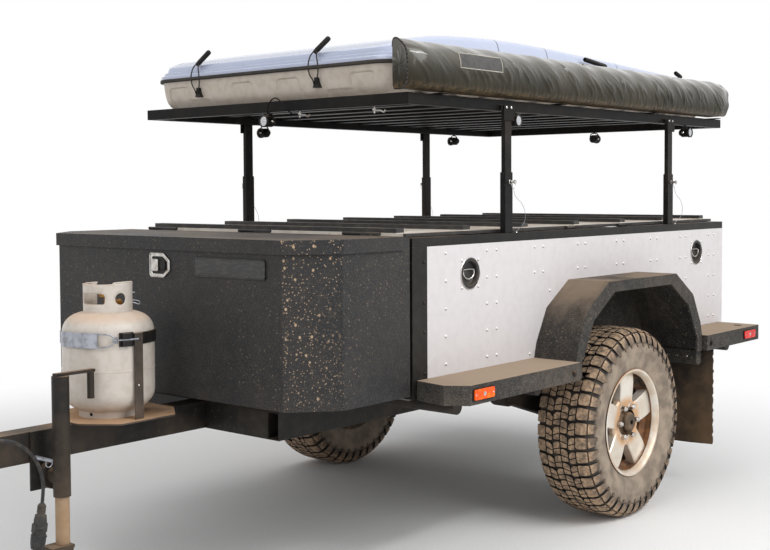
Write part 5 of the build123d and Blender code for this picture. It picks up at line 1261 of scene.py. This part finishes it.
# Tent shell: two moulded halves. The tray is warm grey with shallow pressed panels, the lid is
# glossy and nearly white, with a stepped ledge above a black rubber seal.
tent_low, tent_high = np.array((-2.130, -0.720)), np.array((0.413, 0.650))
tent_middle = (tent_low + tent_high) / 2
tent_corners = [(tent_low[0], tent_low[1]), (tent_high[0], tent_low[1]),
                (tent_high[0], tent_high[1]), (tent_low[0], tent_high[1])]
tent_line = divided(rounded(tent_corners, 0.110, 30), 0.006)
ahead = np.roll(tent_line, -1, 0) - np.roll(tent_line, 1, 0)
tent_normal = np.stack([ahead[:, 1], -ahead[:, 0]], -1)
tent_normal /= np.linalg.norm(tent_normal, axis=1)[:, None]
tent_count = len(tent_line)


def smooth(value, low, high):
    """0 below low, 1 above high, and an S-curve between them."""
    share = np.clip((value - low) / (high - low), 0, 1)
    return share * share * (3 - 2 * share)


def rings(levels):
    """Rings of the tent's outline: each level is (inset, z), numbers or one for each point."""
    shape = []
    for inset, z in levels:
        inset = np.broadcast_to(inset, tent_count)
        flat = tent_line - tent_normal * inset[:, None]
        shape.append(np.column_stack([flat, np.broadcast_to(z, tent_count)]))
    return np.array(shape)


def pressed(along, z):
    """Depth of the pressed panels: tall round-topped ones and, at the ends, low ones. The
    distance along the side is measured from its middle."""
    tall = np.abs(along[:, None] - np.array([-1.04, -0.78, -0.52, -0.13, 0.13, 0.52, 0.78, 1.04]))
    low = np.abs(along[:, None] - np.array([-0.40, 0.40]))
    tall = 1 - smooth(np.hypot(np.maximum(tall - 0.042, 0), max(z - 1.826, 0)), 0.017, 0.022)
    low = 1 - smooth(np.hypot(np.maximum(low - 0.055, 0), max(z - 1.776, 0)), 0.011, 0.016)
    return 0.0075 * np.maximum(tall.max(1), low.max(1) * 0.9)


tray_levels = eased([(0.0060, 1.8765), (0.0105, 1.8640), (0.0130, 1.8450), (0.0165, 1.8200),
                     (0.0220, 1.7980), (0.0310, 1.7800), (0.0440, 1.7660), (0.0620, 1.7580)], 3)
front_side = np.abs(tent_normal[:, 0]) > 0.99
long_side = np.abs(tent_normal[:, 1]) > 0.99
on_front = np.where(front_side, tent_line[:, 1] - tent_middle[1], 9)
on_long = np.where(long_side, tent_line[:, 0] - tent_middle[0], 9)
tray_rings = []
for inset, z in tray_levels:
    depth = pressed(on_front, z) + pressed(on_long, z) * (np.abs(on_long) > 0.46)
    tray_rings.append(rings([(inset + depth, z)])[0])
tray_rings = np.array([*tray_rings, rings([(0.100, 1.7575)])[0]])
tray_shape = (tray_rings.reshape(-1, 3), capped(len(tray_rings), tent_count))
warm_grey = weathered("tray_grey", (202, 192, 180), (190, 178, 164), (150, 128, 104), tops=0.2,
                      film=0.10, low=1.9, grain=0.00025, grain_scale=380, rough=0.42)
piece("tent_tray_shell", tray_shape, warm_grey, "rack", sharp=50,
      stands_for="tent_tray")

# Lid: its height follows one line along the trailer, low at the front, highest before the
# middle. Each ring point climbs the ledge, the leaning wall and a rounded edge to the roof.
roof_line = eased([(-2.130, 1.961), (-1.60, 1.985), (-1.05, 2.008), (-0.432, 2.029),
                   (0.048, 2.010), (0.260, 1.975), (0.413, 1.943)], 4)


def roof(x):
    """Height of the roof's middle at a distance along the trailer."""
    return np.interp(x, roof_line[:, 0], roof_line[:, 1])


ledge = [(0.0, 1.8840), (-0.0005, 1.8900), (0.0005, 1.8960), (0.0040, 1.8985), (0.0090, 1.8995),
         (0.0120, 1.9015), (0.0130, 1.9070), (0.0150, 1.9110), (0.0200, 1.9130), (0.0260, 1.9145)]
edge_top = roof(tent_line[:, 0]) - 0.004
edge_r = np.clip((edge_top - 1.9145) * 0.75, 0.01, 0.040)
lean = math.radians(16)
lid_levels = list(ledge)
wall_inset = 0.0260 + (edge_top - edge_r * (1 - math.sin(lean)) - 1.9145) * math.tan(lean)
for share in np.linspace(0, 1, 7)[1:]:
    angle = lean + (math.pi / 2 - lean) * share
    inset = wall_inset + edge_r * (math.cos(lean) - math.cos(angle))
    lid_levels.append((inset, edge_top - edge_r * (1 - math.sin(angle))))
lid_rings = list(rings(lid_levels))
brim = lid_rings[-1]
spine = np.column_stack([np.clip(tent_line[:, 0], tent_low[0] + 0.6, tent_high[0] - 0.6),
                         np.full(tent_count, tent_middle[1])])
for share in np.linspace(0, 1, 15)[1:]:
    flat = brim[:, :2] * (1 - share) + spine * share
    z = roof(flat[:, 0]) - 0.004 * (1 - share) ** 2
    lid_rings.append(np.column_stack([flat, z]))
under = rings([(0.0, 1.8840), (0.030, 1.8842), (0.100, 1.8845)])[::-1]
lid_rings = np.concatenate([under, np.array(lid_rings)[1:]])
lid_shape = (lid_rings.reshape(-1, 3),
             [*quads(len(lid_rings), tent_count, wrap_columns=True), list(range(tent_count))])
gel = Finish("lid_gelcoat", Roughness=0.22, Coat_Roughness=0.08)
along = gel.at.axis("X")
clouds = gel.at.noise(2.5, 4)
seam = None
for x in (-0.300, -0.660, -1.250, -1.760):
    line = 1 - (along - x).size().above(0.0025, 0.0065)
    seam = line if seam is None else seam.most(line)
raised = gel.height().above(1.93, 1.95)
seam = seam * raised
dust = gel.upward().above(0.7, 1.0) * clouds.above(0.42, 0.75) * 0.18
# Painted reflection: the lid's pale colour is tinted blue for the sky's reflection in it
gel.shows(Base_Color=seam.blend(dust.blend(clouds.blend((168, 177, 202), (182, 190, 212)),
                                           (180, 174, 166)), (120, 124, 138)),
          Roughness=dust * 0.5 + clouds * 0.06 + 0.22, Coat_Weight=0.6 - dust)
gel.relief((gel.at.noise(9, 2), 0.0010, 0.25), (seam, 0.0012, 0.5))
piece("tent_lid_shell", lid_shape, gel, "tent_lid", sharp=40, stands_for="tent_lid")

# Seal: a black rubber section pushed over the tray's flange all round
seal_line = [(-0.0035, 1.8700), (-0.0050, 1.8720), (-0.0050, 1.8815), (-0.0035, 1.8835),
             (0.0100, 1.8835), (0.0100, 1.8700)]
seal_rings = rings(seal_line)
piece("tent_seal", (seal_rings.reshape(-1, 3),
                    quads(len(seal_line), tent_count, wrap_rows=True, wrap_columns=True)),
      bag_rubber, "rack", sharp=30)

# Catches: a black lever with a tube grip, a wire bail and a flared keeper, two at the front
# and two at each long side, where the grips lie along the lid's edge
keepers, bails, grips = [], [], []
catches = [((0.402, -0.420), (1, 0)), ((0.402, 0.260), (1, 0)), ((-0.960, 0.638), (0, 1)),
           ((-0.960, -0.708), (0, -1)), ((-1.784, 0.638), (0, 1)), ((-1.784, -0.708), (0, -1))]
for (x, y), (out_x, out_y) in catches:
    base = np.array((x, y, 0))
    out, side = np.array((out_x, out_y, 0)), np.array((-out_y, out_x, 0))
    flare = np.array([(-0.0085, 1.838), (0.0085, 1.838), (0.0100, 1.820), (0.0165, 1.799),
                      (-0.0165, 1.799), (-0.0100, 1.820)])
    front = base + side * flare[:, :1] + out * 0.008 + (0, 0, 1) * flare[:, 1:]
    back = front - out * 0.018
    back[3:5] -= out * 0.004
    keepers.append((np.concatenate([front, back]), capped(2, 6)))
    for hand in (-1, 1):
        wire = [(hand * 0.006, 0.011, 1.812), (hand * 0.010, 0.012, 1.828),
                (hand * 0.024 - 0.006, 0.013, 1.850), (hand * 0.026 - 0.010, 0.013, 1.888),
                (hand * 0.016 - 0.014, 0.006, 1.922), (hand * 0.008 - 0.012, -0.006, 1.940)]
        path = np.array([base + side * s + out * o + (0, 0, z) for s, o, z in wire])
        bails.append(tube(eased(path, 2), 0.0026, 8))
    start = base + side * -0.020 + out * -0.008 + (0, 0, 1.934)
    end = base + side * 0.046 + out * -0.020 + (0, 0, 1.986)
    if out_y:
        grip_length = 0.182 if x > -1 else 0.060
        start = np.array((x - 0.134 * grip_length / 0.182, y, 1.962))
        end = start + (grip_length, 0, 0.018)
    reach = np.linalg.norm(end - start)
    grips.append(turned([(0.0, 0.0), (0.0, 0.0080), (0.004, 0.0095), (0.012, 0.0095),
                         (0.014, 0.0105), (reach - 0.006, 0.0105), (reach, 0.0085),
                         (reach, 0.0062), (reach - 0.010, 0.0055), (reach - 0.010, 0.0)],
                        start, (end - start) / reach, 20))
piece("catch_keepers", keepers, trim_black, "rack", bevel=0.0015,
      stands_for="tent_catches")
piece("catch_bails", bails, trim_black, "tent_lid")
piece("catch_grips", grips, trim_black, "tent_lid")

# Awning in its bag: a long sleeve of coated olive cloth, zipped at the front end with a black
# tape, drawn together at the rear and pulled into slanting creases above its lower seam.
bag_rear, bag_front = -2.085, 0.4665
bag_half_line = np.array([(0.688, 1.7640), (0.686, 1.8000), (0.6855, 1.8800), (0.6860, 1.9300),
                          (0.6920, 1.9480), (0.7080, 1.9525), (0.7280, 1.9470), (0.7560, 1.9330),
                          (0.7780, 1.9160), (0.7920, 1.8900), (0.7960, 1.8550), (0.7940, 1.8150),
                          (0.7880, 1.7860), (0.7760, 1.7690), (0.7550, 1.7630), (0.7200, 1.7620)])


def closed_curve(points, count):
    """A smooth closed line through a loop of corners, cut evenly: the corners are cut again
    and again, then the line is walked in equal steps."""
    line = np.asarray(points, float)
    for _ in range(4):
        ahead = np.roll(line, -1, 0)
        line = np.stack([line * 0.75 + ahead * 0.25, line * 0.25 + ahead * 0.75], 1)
        line = line.reshape(-1, points.shape[1])
    line = np.concatenate([line, line[:1]])
    walked = np.concatenate([[0], np.cumsum(np.linalg.norm(np.diff(line, axis=0), axis=1))])
    steps = np.linspace(0, walked[-1], count, endpoint=False)
    return np.stack([np.interp(steps, walked, line[:, column])
                     for column in range(line.shape[1])], -1)


def waves(place, *terms):
    """A wandering value: sines of unlike length and start added up, about -1 to 1."""
    return sum(np.sin(place * pace + start) for pace, start in terms) / len(terms)


bag_count, bag_steps = 132, 620
bag_line = closed_curve(bag_half_line, bag_count)
bag_ahead = np.roll(bag_line, -1, 0) - np.roll(bag_line, 1, 0)
bag_out = np.stack([-bag_ahead[:, 1], bag_ahead[:, 0]], -1)
bag_out /= np.linalg.norm(bag_out, axis=1)[:, None]
if (bag_out * (bag_line - bag_line.mean(0))).sum() < 0:
    bag_out = -bag_out


# Creases as rows of (place along x, lean, height as a share, reach, width, depth), drawn at
# random: the cloth hangs from the patch's lower edge, so most lie across the middle of the side
dice = np.random.default_rng(11)
crease_count = 96
bag_creases = np.column_stack([
    np.linspace(bag_rear + 0.05, bag_front - 0.06, crease_count)
    + dice.uniform(-0.016, 0.016, crease_count),
    dice.uniform(0.5, 1.5, crease_count), dice.uniform(0.34, 0.62, crease_count),
    dice.uniform(0.16, 0.34, crease_count), dice.uniform(0.0050, 0.0130, crease_count),
    0.0010 + 0.0095 * dice.uniform(0, 1, crease_count) ** 1.7])


def bag(x, proud=0.0):
    """The sleeve: its section at each x, pulled in towards both ends, with the creases laid
    over it, short puckers above the lower seam and slow sags along its length. A crease is a
    ridge that falls off on both sides of a leaning line and towards that line's ends."""
    x = np.asarray(x, float)[:, None]
    y, z = bag_line[:, 0][None], bag_line[:, 1][None]
    from_front, from_rear = bag_front - x, x - bag_rear
    outer = smooth(y, 0.70, 0.79)
    rise = (z - 1.762) / 0.19
    slant = x - 1.1 * z
    creases = 0
    for place, lean, middle, reach_z, width, depth in bag_creases:
        off = (x - place - lean * (z - 1.85)
               + 0.004 * np.sin((z - 1.85) * 60 + place * 40)) / width
        along = (rise - middle) / reach_z
        creases = creases + depth * np.exp(-np.abs(off) ** 1.4) * np.exp(-along ** 2 * 2.2)
    creases = creases * outer * smooth(rise, 0.04, 0.22)
    under_patch = (smooth(x, -0.09, -0.05) * (1 - smooth(x, 0.20, 0.24))
                   * smooth(z, 1.835, 1.855) * (1 - smooth(z, 1.905, 1.925)))
    seam_run = waves(x - 0.3 * z, (140.0, 0.0), (97.0, 1.4), (223.0, 0.7))
    puckers = 0.0011 * seam_run * smooth(rise, 0.0, 0.06) * (1 - smooth(rise, 0.12, 0.40)) * outer
    long_way = waves(slant * 0.7 + x * 0.5, (19.0, 0.9), (33.0, 2.8))
    sags = 0.0030 * long_way * smooth(y, 0.69, 0.74) * smooth(rise, 0.20, 0.6)
    gathered = 1 - smooth(from_rear, 0.0, 0.16)
    bunch = 0.0022 * gathered * np.sin(np.arange(bag_count) * 2 * math.pi / bag_count * 7 + 14 * x)
    reach = (creases + puckers + sags - 0.0035) * (1 - 0.85 * under_patch) + bunch + proud
    swell = 1 - 0.36 * np.exp(-from_front / 0.040) - 0.16 * gathered ** 2
    inner = 0.686
    new_y = inner + (y - inner) * swell + reach * bag_out[:, 0]
    middle_z = 1.858
    squeeze = 1 - 0.02 * np.exp(-from_front / 0.06) - 0.07 * gathered ** 2
    new_z = middle_z + (z - middle_z) * squeeze + reach * bag_out[:, 1]
    new_z = new_z - 0.004 * (0.5 + 0.5 * waves(x, (7.0, 0.5), (3.1, 0.0))) * smooth(rise, 0.6, 1.0)
    return np.stack([np.broadcast_to(x, new_y.shape), np.clip(new_y, 0.6845, 0.7995),
                     np.clip(new_z, 1.7615, 1.9540)], -1)


def bag_end(ring, x, bulge, folds):
    """Closes the sleeve: its last ring shrinks to a point, bulging a little, with folds that
    run to the middle."""
    middle = ring.mean(0)
    closing = []
    angle = np.arctan2(ring[:, 2] - middle[2], ring[:, 1] - middle[1])
    for share in np.linspace(0, 1, 9)[1:]:
        flat = ring * (1 - share) + middle * share
        wave = folds * math.sin(math.pi * share) * np.cos(angle * 9 + share * 4)
        flat[:, 0] = x + bulge * math.sin(share * math.pi / 2) + wave
        closing.append(flat)
    return np.array(closing)


bag_x = np.linspace(bag_rear + 0.002, bag_front, bag_steps)
sleeve = bag(bag_x)
rear_cap = bag_end(sleeve[0], bag_x[0], 0.004, 0.0030)[::-1]
front_cap = bag_end(sleeve[-1], bag_x[-1], -0.004, 0.0016)
bag_points = np.concatenate([rear_cap, sleeve, front_cap])
oiled = Finish("coated_cloth", Specular_IOR_Level=0.12, Coat_Roughness=0.11)
drift = oiled.at.noise(4.0, 5)
fine = oiled.at.noise(60, 3)
weave_x = oiled.add("ShaderNodeTexWave", {"Vector": oiled.at, "Scale": 260.0}, output="Fac",
                    bands_direction="X")
weave_z = oiled.add("ShaderNodeTexWave", {"Vector": oiled.at, "Scale": 260.0}, output="Fac",
                    bands_direction="Z")
grime = (1 - oiled.height().above(1.765, 1.80)) * fine.above(0.35, 0.7) * 0.6
# Painted sheen: the sleeve grows lighter towards its top, standing for the sky's light on it
painted_top_sheen = oiled.height().above(1.83, 1.94)
olive = drift.above(0.3, 0.7).blend((38, 35, 25), (50, 46, 34))
oiled.shows(Base_Color=grime.blend(painted_top_sheen.blend(olive, (84, 80, 72)), (124, 100, 70)),
            Roughness=drift * 0.08 + fine * 0.05 + 0.35,
            Coat_Weight=oiled.height().above(1.795, 1.895) * 0.95 + 0.05)
crinkles = oiled.at.noise(24, 4, stretch=(1.7, 0.5, 0.5))
oiled.relief((crinkles, 0.0060, 0.55), (fine, 0.0008, 0.4), (weave_x + weave_z, 0.0001, 0.5))
awning = piece("awning_cover", (bag_points.reshape(-1, 3),
                                quads(len(bag_points), bag_count, wrap_columns=True)),
               oiled, "rack", sharp=80, stands_for="awning_bag")

# Zip tape along the front end's edge, from the top, down the outer side and back under
tape_ring = bag([bag_front - 0.003], proud=0.0010)[0]
lowest = int(np.argmin(tape_ring[:, 1] + tape_ring[:, 2]))
around = np.roll(tape_ring, -lowest, axis=0)
tape = around[np.arange(len(around)) > len(around) * 0.30]
tape = tape[tape[:, 1] > 0.6875]
piece("awning_tape", tube(tape, 0.0036, 8), bag_rubber, "rack")

# Sewn patch, left blank: dark cloth in a pale bound edge, lying on the sleeve
patch_columns = np.where((bag_line[:, 0] > 0.74) & (bag_line[:, 1] > 1.852)
                         & (bag_line[:, 1] < 1.911))[0]
patch_x = np.linspace(-0.060, 0.206, 60)
lying = bag(patch_x, proud=0.0011)[:, patch_columns]
binding = np.concatenate([lying[0], lying[1:-1, -1], lying[-1][::-1], lying[1:-1, 0][::-1]])
cloths = []
for name, scale, light, dark, weave, roughness in (
        ("patch_cloth", 40, (58, 58, 58), (76, 74, 72), 700, 0.7),
        ("patch_binding", 80, (196, 192, 180), (168, 162, 148), 900, 0.6)):
    cloth = Finish(name, Roughness=roughness)
    cloth.shows(Base_Color=cloth.at.noise(scale, 3).above(0.3, 0.7).blend(light, dark))
    cloth.relief((cloth.at.noise(weave, 2), 0.0003, 0.6))
    cloths.append(cloth)
piece("awning_patch", (lying.reshape(-1, 3), quads(*lying.shape[:2])), cloths[0], "rack",
      sharp=80)
piece("patch_edge", tube(binding, 0.0016, 6, closed=True), cloths[1], "rack")

# Jack: a black steel tube in a swivel bracket, with a crank on top, a dusty inner leg, a folded
# fork and a moulded wheel with star-shaped openings on a zinc bolt.
for node in ("jack_tube", "jack_fork"):
    softened(node, 0.002, frame_paint, segments=3)
leg_dust = weathered("leg_dust", (150, 132, 112), (112, 98, 84), (190, 156, 120), tops=0.8,
                     film=0.8, low=1.0, specks=0.5, rough=0.5, metallic=0.4)
softened("jack_leg", 0.0012, leg_dust)
castor = np.array((1.506, 0.115, 0.104))
castor_tyre = eased([(-0.0185, 0.0640), (-0.0185, 0.0700), (-0.0225, 0.0760), (-0.0240, 0.0900),
                     (-0.0200, 0.1000), (-0.0100, 0.1038), (0.0100, 0.1038), (0.0200, 0.1000),
                     (0.0240, 0.0900), (0.0225, 0.0760), (0.0185, 0.0700), (0.0185, 0.0640)], 2)
castor_hub = [(-0.0240, 0.0), (-0.0240, 0.0150), (-0.0200, 0.0190), (0.0200, 0.0190),
              (0.0240, 0.0150), (0.0240, 0.0)]
web_line = 0.0660 * circle(72)
openings = []
for number in range(5):
    for turn, shape in ((0.0, [(0.028, 0.0), (0.057, -0.017), (0.052, 0.0), (0.057, 0.017)]),
                        (0.5, [(0.058, 0.0), (0.034, -0.0085), (0.040, 0.0), (0.034, 0.0085)])):
        angle = (number + turn) * 2 * math.pi / 5
        star = rounded(shape, 0.0016, 3)
        openings.append(star @ np.array([[math.cos(angle), math.sin(angle)],
                                         [-math.sin(angle), math.cos(angle)]]))
web, web_faces = pierced(web_line, openings, 0.006)
web = np.insert(web, 1, 0.009, axis=1) + castor
piece("castor_tyre", [turned(np.concatenate([castor_tyre, castor_tyre[:1]]), castor, (0, 1, 0),
                             64), turned(castor_hub, castor, (0, 1, 0), 36)], bag_rubber,
      "jack_wheel", stands_for="jack_wheel")
thickened(piece("castor_web", (web, web_faces), trim_black, "jack_wheel"),
          0.018, offset=1.0)
bolts = [turned([(0.0, 0.0), (0.0, 0.0085), (0.003, 0.0085), (0.003, 0.0062), (0.009, 0.0060),
                 (0.010, 0.0)], castor + (0, hand * 0.0235, 0), (0, hand, 0), 20)
         for hand in (1, -1)]
piece("castor_bolt", bolts, chrome, "jack_wheel")

# Bent zinc pin through the jack's bracket, with a small chain link
pin_line = eased([(1.528, 0.062, 0.548), (1.528, 0.140, 0.548), (1.530, 0.152, 0.549),
                  (1.540, 0.158, 0.552), (1.596, 0.162, 0.572)], 2)
pin_ring = np.insert((1.528, 0.538) + circle(24) * (0.012, 0.013), 1, 0.133, axis=1)
piece("jack_pin", [tube(pin_line, 0.0058, 12), tube(pin_ring, 0.0016, 8, closed=True)],
      zinc, "chassis")

# Plug: a moulded multi-pin connector, with a ribbed gland nut, two clamping ears and a sprung
# cap over its contacts.
from_cable = np.array(lead_route[-1])
plug_way = from_cable - np.array(lead_route[-2])
plug_way /= np.linalg.norm(plug_way)
plug_side = np.cross(plug_way, (0, 1, 0))
plug_side /= np.linalg.norm(plug_side)
plug_face = np.cross(plug_side, plug_way)
gland = [(0.0, 0.0), (0.0, 0.0072), (0.003, 0.0105)]
for rib_at in np.arange(0.006, 0.030, 0.005):
    gland += [(rib_at, 0.0112), (rib_at + 0.001, 0.0138), (rib_at + 0.0035, 0.0138),
              (rib_at + 0.004, 0.0112)]
shell = [(0.034, 0.0130), (0.036, 0.0175), (0.052, 0.0200), (0.072, 0.0205), (0.074, 0.0225),
         (0.080, 0.0225), (0.082, 0.0205), (0.096, 0.0210), (0.098, 0.0238), (0.112, 0.0240),
         (0.126, 0.0232), (0.142, 0.0205), (0.144, 0.0190), (0.144, 0.0)]
plug_rubber = weathered("plug_rubber", (28, 28, 29), (58, 54, 50), (140, 122, 102), tops=0.4,
                        film=0.45, specks=0.2, low=1.2, rough=0.5)
plug_body = piece("plug_shell", turned(gland + shell, from_cable, plug_way, 40),
                  plug_rubber, "chassis", sharp=30, stands_for="lead_plug")


def on_plug(along, side, face):
    """A place on the plug, from its distance along, sideways and to the front."""
    return from_cable + plug_way * along + plug_side * side + plug_face * face


ears = []
for hand in (-1, 1):
    outline = ((0.066, 0.014), (0.062, 0.0235), (0.090, 0.0238), (0.096, 0.014))
    corners = np.array([on_plug(along, hand * side, face) for along, side in outline
                        for face in (-0.009, 0.009)])
    ears.append((np.concatenate([corners[::2], corners[1::2]]), capped(2, 4)))
    ears.append(turned([(0.0, 0.0), (0.0, 0.0034), (0.020, 0.0034), (0.020, 0.0)],
                       on_plug(0.078, hand * 0.019, -0.010), plug_face, 12))
cap_line = np.array([on_plug(0.100, 0.0, 0.0228), on_plug(0.118, 0.0, 0.0236),
                     on_plug(0.140, 0.0, 0.0215)])
ears.append(tube(np.array([on_plug(0.101, -0.016, 0.0195), on_plug(0.101, 0.016, 0.0195)]),
                 0.0034, 10))
ears.append(tube(eased(cap_line, 2), 0.0030, 8))
piece("plug_ears", ears, plug_rubber, "chassis", bevel=0.001)

# The lead, its plug and what they are fixed to, once the plug's pieces are there
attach(lead, "chassis")
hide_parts("lead_cable")
